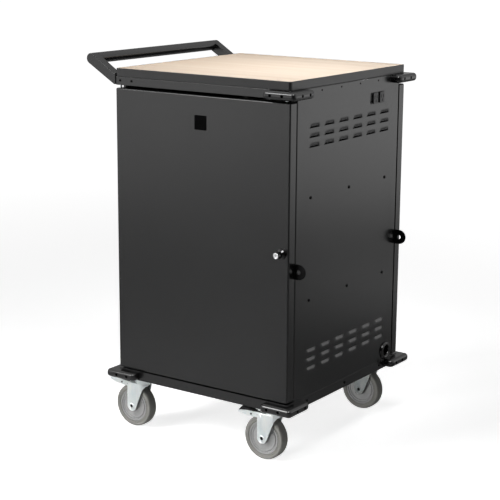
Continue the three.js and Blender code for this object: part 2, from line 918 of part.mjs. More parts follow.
// Doors with their pivots, locks and hasps
for (const [end, side] of [["front", -1], ["rear", 1]]) {
  add(`${end}_hinge_pin`, hingePin().translate(hingeX, side * hingeY, 0), zincPlate);
  add(`${end}_cabinet_hasp`, cabinetHasp(side), blackPlastic);
  add(`${end}_door`, doorPan(side), powderCoat);
  add(`${end}_door_hasp`, doorHasp(side), blackPlastic);
  add(`${end}_lock_body`, lockBody(side), blackPlastic);
  add(`${end}_lock_plug`, lockPlug(side), chromePlate);
}

// Casters, the two at the front with brakes
for (const [end, side] of [["front", -1], ["rear", 1]]) {
  for (const [hand, across] of [["left", -1], ["right", 1]]) {
    addCaster(`${end}_${hand}`, across * casterX, side * casterY, side < 0);
  }
}

export default cart;
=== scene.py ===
import json
from math import acos, atan2, cos, degrees, hypot, pi, radians, sin

import bmesh
import bpy
from mathutils import Matrix, Vector

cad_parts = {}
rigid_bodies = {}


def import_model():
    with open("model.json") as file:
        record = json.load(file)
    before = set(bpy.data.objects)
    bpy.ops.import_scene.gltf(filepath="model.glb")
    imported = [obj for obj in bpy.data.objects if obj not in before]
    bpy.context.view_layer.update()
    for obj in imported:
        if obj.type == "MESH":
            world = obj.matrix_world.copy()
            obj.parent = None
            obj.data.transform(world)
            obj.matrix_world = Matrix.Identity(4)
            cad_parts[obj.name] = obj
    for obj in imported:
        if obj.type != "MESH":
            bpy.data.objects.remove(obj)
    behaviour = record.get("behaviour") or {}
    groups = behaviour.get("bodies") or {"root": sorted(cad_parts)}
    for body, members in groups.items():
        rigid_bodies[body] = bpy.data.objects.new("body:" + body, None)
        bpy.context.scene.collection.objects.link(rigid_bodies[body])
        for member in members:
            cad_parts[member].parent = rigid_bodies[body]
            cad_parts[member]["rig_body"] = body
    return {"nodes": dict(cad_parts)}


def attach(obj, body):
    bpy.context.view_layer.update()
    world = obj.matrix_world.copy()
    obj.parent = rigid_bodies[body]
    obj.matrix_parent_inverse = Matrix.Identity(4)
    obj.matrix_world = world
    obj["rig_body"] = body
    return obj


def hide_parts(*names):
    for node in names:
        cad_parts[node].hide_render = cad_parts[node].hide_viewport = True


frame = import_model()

# Sizes are in millimetres and angles in degrees, unless a comment says otherwise
MM = 0.001
SHEET = 1.5
RIGHT, LEFT = 323.5, -251.5
MIDDLE = (LEFT + RIGHT) / 2
INSIDE = (MIDDLE, 0.0, 600.0)
ENDS = (("front", -1), ("rear", 1))

# Points closer than these are one, in new meshes and in CAD nodes
WELD, CAD_WELD = 1e-4, 0.01

# Edges over these angles are rounded off, or else stay sharp to the light
BEVEL_FROM, SHARP_FROM = 32, 38

# The gap round a part in its opening, and how far a cut starts outside a face
CLEAR, PAST = 0.3, 1.0

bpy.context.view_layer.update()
scene = bpy.context.scene
scene.view_settings.view_transform = "Standard"


# Nodes of materials and of the world
def feed(tree, socket, value):
    """Links a socket to another one, or sets it to a constant."""
    if isinstance(value, bpy.types.NodeSocket):
        tree.links.new(value, socket)
    else:
        socket.default_value = value


def joined(tree, kind, operation, *values):
    """A node that works on values, each of which is a socket or a constant."""
    made = tree.nodes.new(kind)
    made.operation = operation
    for socket, value in zip(made.inputs, values):
        feed(tree, socket, value)
    return made


def dot(tree, first, second):
    return joined(tree, "ShaderNodeVectorMath", "DOT_PRODUCT", first, second).outputs["Value"]


def times(tree, first, second):
    return joined(tree, "ShaderNodeMath", "MULTIPLY", first, second).outputs["Value"]


def larger(tree, first, second):
    return joined(tree, "ShaderNodeMath", "MAXIMUM", first, second).outputs["Value"]


def ranged(tree, value, start, stop, low, high):
    """A value that goes from low to high while another goes from start to stop."""
    made = tree.nodes.new("ShaderNodeMapRange")
    keys = ("Value", "From Min", "From Max", "To Min", "To Max")
    for key, given in zip(keys, (value, start, stop, low, high)):
        feed(tree, made.inputs[key], given)
    return made.outputs["Result"]


# Materials: the scale of a pattern is in repeats to the metre
# Ranges: most of a noise, likeness of normals from flats to edges, where in X the laminate is painted warmer
# and darker as shade towards its left end, in metres
NOISE_RANGE = (0.3, 0.7)
EDGE_RANGE = (0.995, 0.93)
LEFT_SHADE_RANGE, LEFT_SHADE_SHARE = (0.12, -0.25), 0.35


class Surface:
    """A Principled material with short ways to add procedural detail."""

    def __init__(self, name, metallic=0.0, specular=0.5):
        self.material = bpy.data.materials.new(name)
        self.material.use_nodes = True
        self.tree = self.material.node_tree
        self.nodes = self.tree.nodes
        self.links = self.tree.links
        self.shader = self.nodes["Principled BSDF"]
        self.shader.inputs["Metallic"].default_value = metallic
        self.shader.inputs["Specular IOR Level"].default_value = specular
        self.place = self.nodes.new("ShaderNodeTexCoord").outputs["Object"]

    def node(self, kind, **inputs):
        made = self.nodes.new(kind)
        for key, value in inputs.items():
            feed(self.tree, made.inputs[key], value)
        return made

    def stretched(self, x, y, z):
        return self.node("ShaderNodeMapping", Vector=self.place, Scale=(x, y, z)).outputs["Vector"]

    def noise(self, scale, detail=3.0, roughness=0.55, vector=None):
        """A noise with a scale, octaves of detail and their roughness."""
        place = vector or self.place
        made = self.node("ShaderNodeTexNoise", Vector=place, Scale=scale, Detail=detail, Roughness=roughness)
        return made.outputs["Fac"]

    def cells(self, scale):
        return self.node("ShaderNodeTexVoronoi", Vector=self.place, Scale=scale).outputs["Color"]

    def ramp(self, value, *stops):
        """Colours along a value. Each stop is a position and a colour."""
        made = self.node("ShaderNodeValToRGB", Fac=value)
        elements = made.color_ramp.elements
        while len(elements) < len(stops):
            elements.new(0.5)
        for element, (position, colour) in zip(elements, stops):
            element.position = position
            element.color = (*colour, 1.0)
        return made.outputs["Color"]

    def span(self, noise, low, high):
        """A noise stretched to go from low to high."""
        return ranged(self.tree, noise, *NOISE_RANGE, low, high)

    def mix(self, factor, first, second, mode="MIX"):
        made = self.nodes.new("ShaderNodeMix")
        made.data_type = "RGBA"
        made.blend_type = mode
        for key, value in (("Factor_Float", factor), ("A_Color", first), ("B_Color", second)):
            socket = next(s for s in made.inputs if s.identifier == key)
            feed(self.tree, socket, (*value, 1.0) if isinstance(value, tuple) else value)
        return next(s for s in made.outputs if s.identifier == "Result_Color")

    def edges(self, radius, strength):
        """The given strength along the edges of a piece, and zero on its flat parts."""
        rounded_off = self.node("ShaderNodeBevel", Radius=radius * MM).outputs["Normal"]
        plain = self.nodes.new("ShaderNodeNewGeometry").outputs["Normal"]
        return ranged(self.tree, dot(self.tree, rounded_off, plain), *EDGE_RANGE, 0.0, strength)

    def colour(self, socket):
        self.links.new(socket, self.shader.inputs["Base Color"])

    def rough(self, socket):
        self.links.new(socket, self.shader.inputs["Roughness"])

    def bump(self, height, strength, depth):
        made = self.node("ShaderNodeBump", Height=height, Strength=strength, Distance=depth * MM)
        self.links.new(made.outputs["Normal"], self.shader.inputs["Normal"])


def grey(value, blue):
    """A grey with its blue raised by a factor."""
    return (value, value, blue * value)


def powder_coat(name, dark, light, edge):
    s = Surface(name, specular=0.53)
    cloud = s.noise(7.0, 4.0)
    peel = s.noise(650.0, 2.0)
    base = s.ramp(cloud, (0.3, grey(dark, 1.04)), (0.7, grey(light, 1.03)))
    # The lighter edges are partly wear and partly a painted highlight along every edge
    s.colour(s.mix(s.edges(1.0, 0.3), base, grey(edge, 1.02)))
    s.rough(s.span(s.noise(90.0, 4.0), 0.23, 0.26))
    s.bump(peel, 0.05, 0.1)
    return s.material


def laminate():
    s = Surface("laminate_maple", specular=0.25)
    streak = s.noise(1.0, 6.0, 0.6, s.stretched(1.6, 26.0, 8.0))
    fibre = s.noise(1.0, 4.0, 0.6, s.stretched(14.0, 420.0, 60.0))
    drift = s.noise(2.6, 2.0)
    # Painted shade: the laminate turns warmer and darker towards its left end, where less light falls
    along = s.node("ShaderNodeSeparateXYZ", Vector=s.place).outputs["X"]
    left_end_shade = ranged(s.tree, along, *LEFT_SHADE_RANGE, 0.0, LEFT_SHADE_SHARE)
    tones = ((0.25, (0.70, 0.555, 0.425)), (0.5, (0.785, 0.655, 0.53)), (0.75, (0.83, 0.715, 0.595)))
    wood = s.ramp(streak, *tones)
    wood = s.mix(s.span(fibre, 0.0, 0.14), wood, (0.62, 0.47, 0.34))
    wood = s.mix(s.span(drift, 0.0, 0.22), wood, (0.84, 0.71, 0.585))
    s.colour(s.mix(left_end_shade, wood, (0.78, 0.595, 0.435)))
    s.rough(s.span(fibre, 0.42, 0.52))
    s.bump(fibre, 0.06, 0.05)
    return s.material


def edge_band():
    s = Surface("edge_band_black", specular=0.5)
    lines = s.noise(1.0, 3.0, 0.5, s.stretched(4.0, 4.0, 900.0))
    base = s.ramp(s.noise(30.0), (0.3, (0.009, 0.009, 0.0092)), (0.7, (0.013, 0.013, 0.0132)))
    # The lighter edges are partly wear and partly a painted highlight along them
    s.colour(s.mix(s.edges(1.0, 0.5), base, (0.07, 0.07, 0.071)))
    s.rough(s.span(lines, 0.3, 0.42))
    s.bump(lines, 0.08, 0.05)
    return s.material


def bumper_plastic():
    s = Surface("bumper_plastic_gloss", specular=0.5)
    scuff = s.noise(1.0, 5.0, 0.65, s.stretched(60.0, 60.0, 500.0))
    base = s.ramp(s.noise(40.0), (0.3, (0.004, 0.004, 0.0042)), (0.7, (0.0065, 0.0065, 0.0067)))
    s.colour(s.mix(s.span(scuff, 0.0, 0.08), base, (0.05, 0.05, 0.05)))
    s.rough(s.span(scuff, 0.13, 0.2))
    s.bump(s.noise(900.0, 2.0), 0.06, 0.05)
    return s.material


def moulded_black(name, specular, dark, light, roughness):
    s = Surface(name, specular=specular)
    base = s.ramp(s.noise(60.0), (0.3, grey(dark, 1.05)), (0.7, grey(light, 1.05)))
    # A painted highlight: the edges of every moulded black are lightened to a grey
    s.colour(s.mix(s.edges(0.6, 0.5), base, (0.03, 0.03, 0.03)))
    s.rough(s.span(s.noise(120.0, 4.0), roughness, 1.45 * roughness))
    s.bump(s.noise(1200.0, 2.0), 0.05, 0.03)
    return s.material


def zinc():
    s = Surface("zinc_plate", metallic=1.0)
    spangle = s.cells(90.0)
    flow = s.noise(1.0, 5.0, 0.6, s.stretched(70.0, 70.0, 18.0))
    tone = s.ramp(flow, (0.3, (0.81, 0.865, 0.875)), (0.55, (0.90, 0.94, 0.935)), (0.75, (0.95, 0.96, 0.93)))
    s.colour(s.mix(0.10, tone, spangle, "SOFT_LIGHT"))
    s.rough(s.span(flow, 0.38, 0.52))
    s.bump(s.noise(500.0, 3.0), 0.10, 0.06)
    return s.material


def chrome():
    s = Surface("chrome_plate", metallic=1.0)
    turned = s.noise(1.0, 4.0, 0.6, s.stretched(900.0, 90.0, 900.0))
    s.colour(s.ramp(turned, (0.3, (0.78, 0.79, 0.80)), (0.7, (0.88, 0.885, 0.89))))
    s.rough(s.span(turned, 0.2, 0.32))
    s.bump(turned, 0.05, 0.03)
    return s.material


def tyre_rubber():
    s = Surface("tyre_rubber_grey", specular=0.35)
    dust = s.noise(45.0, 5.0, 0.65)
    speck = s.noise(700.0, 2.0)
    tone = s.ramp(dust, (0.3, (0.175, 0.173, 0.160)), (0.7, (0.228, 0.224, 0.208)))
    s.colour(s.mix(s.span(speck, 0.0, 0.25), tone, (0.27, 0.266, 0.249)))
    s.rough(s.span(dust, 0.52, 0.72))
    s.bump(speck, 0.18, 0.12)
    return s.material


def hub_plastic():
    s = Surface("hub_plastic_grey", specular=0.45)
    flow = s.noise(35.0, 5.0, 0.6)
    speck = s.noise(900.0, 2.0)
    tone = s.ramp(flow, (0.3, (0.24, 0.24, 0.238)), (0.7, (0.30, 0.30, 0.297)))
    s.colour(s.mix(s.span(speck, 0.0, 0.12), tone, (0.4, 0.4, 0.4)))
    s.rough(s.span(flow, 0.36, 0.5))
    s.bump(speck, 0.08, 0.06)
    return s.material


# Coats: name, darkest and lightest tone, tone of the edges, which stands for wear and is also a painted
# highlight along them
# Moulded blacks: name, specular level, darkest and lightest tone, lowest roughness
MATERIALS = {
    "powder_coat": powder_coat("powder_coat_satin", 0.0042, 0.0066, 0.03),
    # Painted light: the inner coat is the outer black powder coat made several times lighter, so the shelves
    # and racks show inside the dark cabinet
    "inner_coat_painted_light": powder_coat("powder_coat_inner_painted_light", 0.022, 0.034, 0.09),
    "laminate": laminate(),
    "edge_band": edge_band(),
    "bumper_plastic": bumper_plastic(),
    "black_plastic": moulded_black("black_plastic_satin", 0.3, 0.004, 0.0065, 0.24),
    "gloss_black": moulded_black("black_plastic_gloss", 0.5, 0.004, 0.0065, 0.11),
    "matt_black": moulded_black("black_plastic_matt", 0.1, 0.0018, 0.0032, 0.26),
    "flat_black": moulded_black("black_plastic_flat", 0.02, 0.0014, 0.0024, 0.4),
    "strip_black": moulded_black("black_plastic_strip", 0.4, 0.03, 0.045, 0.3),
    "zinc": zinc(),
    "chrome": chrome(),
    "tyre_rubber": tyre_rubber(),
    "hub_plastic": hub_plastic(),
}
SHARED_SLOTS = dict.fromkeys(("gloss_black", "matt_black", "flat_black", "strip_black"), "black_plastic")
SHARED_SLOTS["inner_coat_painted_light"] = "powder_coat"


# Outlines and profiles
def arc(x, y, radius, start, stop, steps=8):
    """Points on a circle between two angles."""
    turns = [radians(start + (stop - start) * k / steps) for k in range(steps + 1)]
    return [(x + radius * cos(t), y + radius * sin(t)) for t in turns]


def disc(x, y, radius, steps=32, start=0):
    return arc(x, y, radius, start, start + 360, steps)[:-1]


def rounded(x0, x1, y0, y1, radius, steps=6):
    """A rectangle with round corners, between two places on each axis."""
    return [
        *arc(x1 - radius, y0 + radius, radius, -90, 0, steps),
        *arc(x1 - radius, y1 - radius, radius, 0, 90, steps),
        *arc(x0 + radius, y1 - radius, radius, 90, 180, steps),
        *arc(x0 + radius, y0 + radius, radius, 180, 270, steps),
    ]


def centred(x, y, half, radius, steps=6):
    """A rectangle with round corners, around its middle."""
    return rounded(x - half[0], x + half[0], y - half[1], y + half[1], radius, steps)


def facing(profile, side):
    """A profile of (radius, along) pairs, pointed to one side."""
    return [(radius, side * along) for radius, along in profile]


def both_sides(half):
    """A whole profile out of its half on one side."""
    return half + facing(reversed(half), -1)


def between(side, first, last):
    """Two distances from the middle, on one side of it, in rising order."""
    return sorted((side * first, side * last))


def tangent(point, centre, radius, side):
    """The angle where a line from a point touches a circle."""
    dx, dz = point[0] - centre[0], point[1] - centre[1]
    return degrees(atan2(dz, dx) + side * acos(radius / hypot(dx, dz)))


def value_at(points, x):
    """The height at x of a line through points."""
    for (x0, y0), (x1, y1) in zip(points, points[1:]):
        if x <= x1:
            return y0 + (y1 - y0) * (x - x0) / (x1 - x0)
    return points[-1][1]


# Meshes
def at(axis, a, b, along):
    if axis == "X":
        return (along, a, b)
    if axis == "Y":
        return (a, along, b)
    return (a, b, along)


def slab(bm, outline, axis, low, high, holes=()):
    """An outline with holes, given thickness along an axis."""
    caps = ([], [])
    for loop in (outline, *holes):
        rings = [[bm.verts.new(at(axis, a, b, along)) for a, b in loop] for along in (low, high)]
        for k in range(len(loop)):
            bm.faces.new((rings[0][k - 1], rings[0][k], rings[1][k], rings[1][k - 1]))
        for cap, ring in zip(caps, rings):
            cap.append(ring)
    for cap in caps:
        if len(cap) == 1:
            bm.faces.new(cap[0])
        else:
            fill(bm, cap)


def fill(bm, loops):
    """A flat face between an outer loop of corners and the loops of its holes."""
    edges = []
    for loop in loops:
        for k in range(len(loop)):
            pair = (loop[k - 1], loop[k])
            edges.append(bm.edges.get(pair) or bm.edges.new(pair))
    bmesh.ops.triangle_fill(bm, use_beauty=True, use_dissolve=False, edges=edges)


def lathe(bm, profile, axis, centre, segments=48, closed=False):
    """A profile of (radius, along) pairs turned around a line through centre."""
    cx, cy, cz = centre
    rings = []
    for radius, along in profile:
        ring = []
        for k in range(1 if radius < WELD else segments):
            t = 2 * pi * k / segments
            px, py, pz = at(axis, radius * cos(t), radius * sin(t), along)
            ring.append(bm.verts.new((cx + px, cy + py, cz + pz)))
        rings.append(ring if len(ring) > 1 else ring * segments)
    pairs = list(zip(rings, rings[1:]))
    if closed:
        pairs.append((rings[-1], rings[0]))
    for first, second in pairs:
        for k in range(segments):
            corners = (first[k - 1], first[k], second[k], second[k - 1])
            bm.faces.new(list(dict.fromkeys(corners)))


def box(bm, x, y, z):
    slab(bm, [(x[0], y[0]), (x[1], y[0]), (x[1], y[1]), (x[0], y[1])], "Z", z[0], z[1])


def grid(bm, rows, closed=False):
    """Quads between rows of points, with the same number in each row. Gives the rows of corners."""
    made = [[bm.verts.new(p) for p in row] for row in rows]
    for first, second in zip(made, made[1:]):
        for k in range(0 if closed else 1, len(first)):
            bm.faces.new((first[k - 1], first[k], second[k], second[k - 1]))
    return made


def stack(bm, rings):
    """A solid through closed rings with the same number of points, with a cap on each end."""
    made = grid(bm, rings, closed=True)
    bm.faces.new(made[0])
    bm.faces.new(made[-1])


# Pieces
def face_away(bm, inside):
    """Turns all faces so that they look away from a point."""
    bmesh.ops.recalc_face_normals(bm, faces=bm.faces)
    centre = Vector(inside)
    flux = sum(f.calc_area() * f.normal.dot(f.calc_center_median() - centre) for f in bm.faces)
    if flux < 0:
        bmesh.ops.reverse_faces(bm, faces=bm.faces)


def as_object(name, bm):
    mesh = bpy.data.meshes.new(name)
    bm.to_mesh(mesh)
    bm.free()
    mesh.transform(Matrix.Scale(MM, 4))
    obj = bpy.data.objects.new(name, mesh)
    scene.collection.objects.link(obj)
    return obj


def carve(obj, cuts):
    """Cuts a mesh out of an object for good."""
    bmesh.ops.recalc_face_normals(cuts, faces=cuts.faces)
    tool = as_object("cutter", cuts)
    modifier = obj.modifiers.new("cut", "BOOLEAN")
    modifier.operation = "DIFFERENCE"
    modifier.solver = "EXACT"
    modifier.object = tool
    view = bpy.context.evaluated_depsgraph_get()
    carved = bpy.data.meshes.new_from_object(obj.evaluated_get(view))
    obj.modifiers.clear()
    obj.data = carved
    bpy.data.objects.remove(tool)


def soften(obj, edge, steps):
    """Rounds the sharp edges and keeps the flat faces flat to the light."""
    if edge:
        bevel = obj.modifiers.new("bevel", "BEVEL")
        bevel.width = edge * MM
        bevel.segments = steps
        bevel.limit_method = "ANGLE"
        bevel.angle_limit = radians(BEVEL_FROM)
    smooth = obj.modifiers.new("smooth", "WEIGHTED_NORMAL")
    smooth.keep_sharp = True


def piece(name, bm, finish, node=None, body=None, inside=None, thick=0.0, cuts=None, edge=0.0, steps=3):
    """Makes a mesh into a piece. It stands for a CAD node, or else rides on the named body."""
    bmesh.ops.remove_doubles(bm, verts=bm.verts, dist=WELD)
    if inside is None:
        bmesh.ops.recalc_face_normals(bm, faces=bm.faces)
    else:
        face_away(bm, inside)
    obj = as_object(name, bm)
    obj.data.materials.append(MATERIALS[finish])
    if thick:
        wall = obj.modifiers.new("wall", "SOLIDIFY")
        wall.thickness = thick * MM
        wall.offset = -1
    if cuts is not None:
        carve(obj, cuts)
    mesh = obj.data
    mesh.polygons.foreach_set("use_smooth", [True] * len(mesh.polygons))
    if not edge:
        mesh.set_sharp_from_angle(angle=radians(SHARP_FROM))
    soften(obj, edge, steps)
    if node:
        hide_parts(node)
        body = frame["nodes"][node]["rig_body"]
    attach(obj, body)


def upright_pin(name, profile, x, y, node=None, body=None, segments=24):
    bm = bmesh.new()
    lathe(bm, profile, "Z", (x, y, 0), segments)
    piece(name, bm, "zinc", node, body)


def dress(node, finish, edge):
    """Gives a CAD node its material and softens its edges."""
    obj = frame["nodes"][node]
    for slot in obj.material_slots:
        slot.material = MATERIALS[finish]
    weld = obj.modifiers.new("weld", "WELD")
    weld.merge_threshold = CAD_WELD * MM
    soften(obj, edge, steps=2)


# Doors
DOOR_BOTTOM, DOOR_TOP = 181.0, 981.0
HALF_DEPTH, DOOR_BACK = 296.0, 268.0
DOOR_BEND = 4.0
DOOR_PLATE_X, DOOR_PLATE_Z, DOOR_PLATE_HALF = 39.0, 908.5, 19.5
DOOR_PLATE_CORNER, DOOR_PLATE_PROUD, DOOR_PLATE_SUNK = 2.2, 1.2, 0.2
HINGE_X, HINGE_Y = -244.0, 282.0
HINGE_HOLE, HINGE_DEEP = 3.3, 4.0
STUD_X, STUD_Y = 305.0, 285.0
HASP_X, HASP_Z, HASP_ROOT = 337.0, 538.5, 311.5
HASP_RADIUS, HASP_HOLE, HASP_THICK = 20.5, 6.0, 2.2
CABINET_HASP = 265.3
LOCK_X, LOCK_Z, LOCK_HOLE = 299.0, 587.0, 8.3
KEYWAY_HALF, KEYWAY_CORNER = (0.9, 3.4), 0.8
KEYWAY_LOW, KEYWAY_HIGH = 23.0, 27.0
CAM_HALF, CAM_LONG, CAM_CORNER = 6.0, 17.0, 3.0
CAM_BACK, CAM_FRONT = 38.0, 35.5
NUT_RADIUS, NUT_BACK = 5.6, 41.0

# Profiles: the lock's are measured out from the door's face, the pins' up from the floor
LOCK_HOUSING = [(5.3, -34.9), (8, -34.9), (8, 0.3), (12.7, 0.3), (14.4, 0.9), (14.6, 3.4), (10.4, 7.8),
                (9.7, 8.2), (9.7, 23.4), (9.5, 24.3), (9.0, 24.8), (8.6, 24.9), (8.4, 24.6), (8.4, 22.2),
                (5.3, 22.2)]
LOCK_PLUG = [(0, -38), (5, -38), (5, 22.5), (7.8, 22.5), (8.2, 22.9), (8.2, 24.2), (7.7, 24.8), (6.4, 25.0),
             (5.8, 24.6), (0, 24.6)]
HINGE_PIN = [(0, 969), (2.2, 969), (3, 970), (3, 990.8), (4.6, 990.8), (5, 991.3), (5, 992.4), (4.2, 993.3),
             (0, 993.3)]
STOP_STUD = [(0, 982.6), (2.4, 982.6), (3.2, 983.4), (3.2, 988), (2.2, 988.6), (2.2, 989.4), (0, 989.4)]


def door(end, side):
    bm = bmesh.new()
    front = [bm.verts.new((x, side * HALF_DEPTH, z)) for x, z in (
        (LEFT, DOOR_BOTTOM), (RIGHT, DOOR_BOTTOM), (RIGHT, DOOR_TOP), (LEFT, DOOR_TOP))]
    back = [bm.verts.new((v.co.x, side * DOOR_BACK, v.co.z)) for v in front]
    bm.faces.new(front)
    for k in range(4):
        bm.faces.new((front[k - 1], front[k], back[k], back[k - 1]))
    bends = [e for e in bm.edges if not all(v in back for v in e.verts)]
    bmesh.ops.bevel(bm, geom=bends, offset=DOOR_BEND, segments=4, profile=0.5, affect="EDGES")
    cuts = bmesh.new()
    slab(cuts, disc(LOCK_X, LOCK_Z, LOCK_HOLE), "Y",
         *between(side, HALF_DEPTH - SHEET - DOOR_BEND, HALF_DEPTH + PAST))
    pivot = disc(HINGE_X, side * HINGE_Y, HINGE_HOLE, 24)
    slab(cuts, pivot, "Z", DOOR_BOTTOM - PAST, DOOR_BOTTOM + HINGE_DEEP)
    slab(cuts, pivot, "Z", DOOR_TOP - HINGE_DEEP, DOOR_TOP + PAST)
    notch = between(side, DOOR_BACK - PAST, DOOR_BACK + HASP_THICK + CLEAR)
    half = HASP_RADIUS + CLEAR
    box(cuts, (RIGHT - DOOR_BEND, RIGHT + 2 * PAST), notch, (HASP_Z - half, HASP_Z + half))
    piece(f"{end}_door_pan", bm, "powder_coat", f"{end}_door", inside=INSIDE, thick=SHEET, cuts=cuts)


def hasp(name, node, low, high):
    bm = bmesh.new()
    nose = arc(HASP_X, HASP_Z, HASP_RADIUS, -90, 90, 32)
    tab = [(HASP_ROOT, HASP_Z - HASP_RADIUS), *nose, (HASP_ROOT, HASP_Z + HASP_RADIUS)]
    slab(bm, tab, "Y", low, high, [disc(HASP_X, HASP_Z, HASP_HOLE)])
    piece(name, bm, "matt_black", node, edge=0.9)


def lock(end, side):
    centre = (LOCK_X, side * HALF_DEPTH, LOCK_Z)
    bm = bmesh.new()
    lathe(bm, facing(LOCK_HOUSING, side), "Y", centre, 48, True)
    piece(f"{end}_lock_housing", bm, "gloss_black", f"{end}_lock_body")
    bm, keyway = bmesh.new(), bmesh.new()
    lathe(bm, facing(LOCK_PLUG, side), "Y", centre, 40)
    slab(keyway, centred(LOCK_X, LOCK_Z, KEYWAY_HALF, KEYWAY_CORNER, 4), "Y",
         *between(side, HALF_DEPTH + KEYWAY_LOW, HALF_DEPTH + KEYWAY_HIGH))
    piece(f"{end}_lock_face", bm, "chrome", f"{end}_lock_plug", cuts=keyway)
    bm = bmesh.new()
    corner, top = CAM_HALF - CAM_CORNER, LOCK_Z + CAM_LONG
    tab = [*arc(LOCK_X, LOCK_Z, CAM_HALF, 180, 360, 16), *arc(LOCK_X + corner, top, CAM_CORNER, 0, 90, 6),
           *arc(LOCK_X - corner, top, CAM_CORNER, 90, 180, 6)]
    slab(bm, tab, "Y", *between(side, HALF_DEPTH - CAM_BACK, HALF_DEPTH - CAM_FRONT))
    nut = disc(LOCK_X, LOCK_Z, NUT_RADIUS, 6, 30)
    slab(bm, nut, "Y", *between(side, HALF_DEPTH - NUT_BACK, HALF_DEPTH - CAM_BACK))
    piece(f"{end}_lock_cam", bm, "zinc", body=f"{end}_lock", edge=0.4)


def door_plate():
    bm = bmesh.new()
    shape = centred(DOOR_PLATE_X, DOOR_PLATE_Z, (DOOR_PLATE_HALF, DOOR_PLATE_HALF), DOOR_PLATE_CORNER)
    slab(bm, shape, "Y", -HALF_DEPTH - DOOR_PLATE_PROUD, -HALF_DEPTH + DOOR_PLATE_SUNK)
    piece("door_plate_bare", bm, "flat_black", body="front_door_body", edge=0.5)


# Cabinet shell
PANEL_HALF = 265.0
PANEL_BOTTOM, PANEL_TOP = 178.3, 1010.2
PANEL_RETURN, PANEL_BEND = 12.0, 4.5
LOUVRE_LONG, LOUVRE_HIGH, LOUVRE_DEEP = 53.0, 13.6, 4.2
LOUVRE_COLUMNS, LOUVRE_PITCH, LOUVRE_SHIFT = 6, 73.0, 1.5
LOUVRE_YS = [(k - (LOUVRE_COLUMNS - 1) / 2) * LOUVRE_PITCH + LOUVRE_SHIFT for k in range(LOUVRE_COLUMNS)]
LOUVRE_ROWS = [(914.0, -1), (888.5, -1), (863.0, -1), (252.5, 1), (278.0, 1), (303.5, 1)]
LOUVRE_CURVE = 1.8
LOUVRE_FRONT_END, LOUVRE_REAR_END = 0.34, 0.14
LOUVRE_ACROSS, LOUVRE_DOWN = 18, 8
OUTLET_Y, OUTLET_Z = 144.0, 955.0
OUTLET_HALF, OUTLET_CORNER = (34.0, 13.0), 1.0
GROMMET_Y, GROMMET_Z, GROMMET_NECK = 225.0, 203.5, 18.0
BOARD_LOW, BOARD_HIGH = 1012.3, 1035.3
BAND, BOARD_GAP = 3.0, 0.1
BAND_CORNER, BOARD_CORNER = 8.0, 5.0


def ease(t):
    t = min(1.0, max(0.0, t))
    return t * t * (3 - 2 * t)


def louvre(bm, outer, inward, y, z, lean):
    """A pressed louvre, closed on three sides and open along one edge. Gives the corners of its rim."""
    rows = []
    for j in range(LOUVRE_DOWN + 1):
        v = j / LOUVRE_DOWN
        row = []
        for i in range(LOUVRE_ACROSS + 1):
            u = i / LOUVRE_ACROSS
            ends = ease(u / LOUVRE_FRONT_END) * ease((1 - u) / LOUVRE_REAR_END)
            deep = LOUVRE_DEEP * v ** LOUVRE_CURVE * ends
            place = (outer + inward * deep, y + LOUVRE_LONG * (u - 0.5), z + lean * LOUVRE_HIGH * (v - 0.5))
            row.append(place)
        rows.append(row)
    rows = grid(bm, rows)
    return [row[0] for row in reversed(rows)] + rows[0][1:] + [row[-1] for row in rows[1:]]


def side_panel(name, node, outer, inward, holes=()):
    bm = bmesh.new()
    loops = [louvre(bm, outer, inward, y, z, lean) for z, lean in LOUVRE_ROWS for y in LOUVRE_YS]
    for hole in holes:
        loops.append([bm.verts.new((outer, y, z)) for y, z in hole])
    flat = PANEL_HALF - PANEL_BEND
    sheet = [(-flat, PANEL_BOTTOM), (flat, PANEL_BOTTOM), (flat, PANEL_TOP), (-flat, PANEL_TOP)]
    fill(bm, [[bm.verts.new((outer, y, z)) for y, z in sheet], *loops])
    bend = arc(0, 0, PANEL_BEND, 0, 90, 5)
    for end in (-1, 1):
        turn = [(outer + inward * (PANEL_BEND - x), end * (flat + y)) for x, y in bend]
        turn.append((outer + inward * PANEL_RETURN, end * PANEL_HALF))
        grid(bm, [[(x, y, z) for x, y in turn] for z in (PANEL_BOTTOM, PANEL_TOP)])
    piece(name, bm, "powder_coat", node, inside=INSIDE, thick=SHEET)


def right_panel_holes():
    half = [size + CLEAR for size in OUTLET_HALF]
    outlet = centred(OUTLET_Y, OUTLET_Z, half, OUTLET_CORNER, 2)
    return [outlet, disc(GROMMET_Y, GROMMET_Z, GROMMET_NECK + CLEAR)]


def worktop_outline(inset, corner):
    return rounded(LEFT + inset, RIGHT - inset, inset - HALF_DEPTH, HALF_DEPTH - inset, corner, 8)


def worktop():
    bm = bmesh.new()
    slab(bm, worktop_outline(BAND + BOARD_GAP, BOARD_CORNER), "Z", BOARD_LOW, BOARD_HIGH)
    piece("worktop_laminate", bm, "laminate", "worktop_board", edge=0.3)
    bm = bmesh.new()
    inner = worktop_outline(BAND, BOARD_CORNER)
    slab(bm, worktop_outline(0, BAND_CORNER), "Z", BOARD_LOW, BOARD_HIGH, [inner])
    piece("worktop_band", bm, "edge_band", "worktop_edge_band", edge=1.2)


# Push handle
GRIP_X, GRIP_Z = -341.0, 1055.8
GRIP_RADIUS, GRIP_HALF = 15.0, 271.0
ARM_INNER, ARM_OUTER = 270.0, 296.0
FOOT_X = (-251.8, -258.8)
FOOT_Z = (990.0, 1022.0)


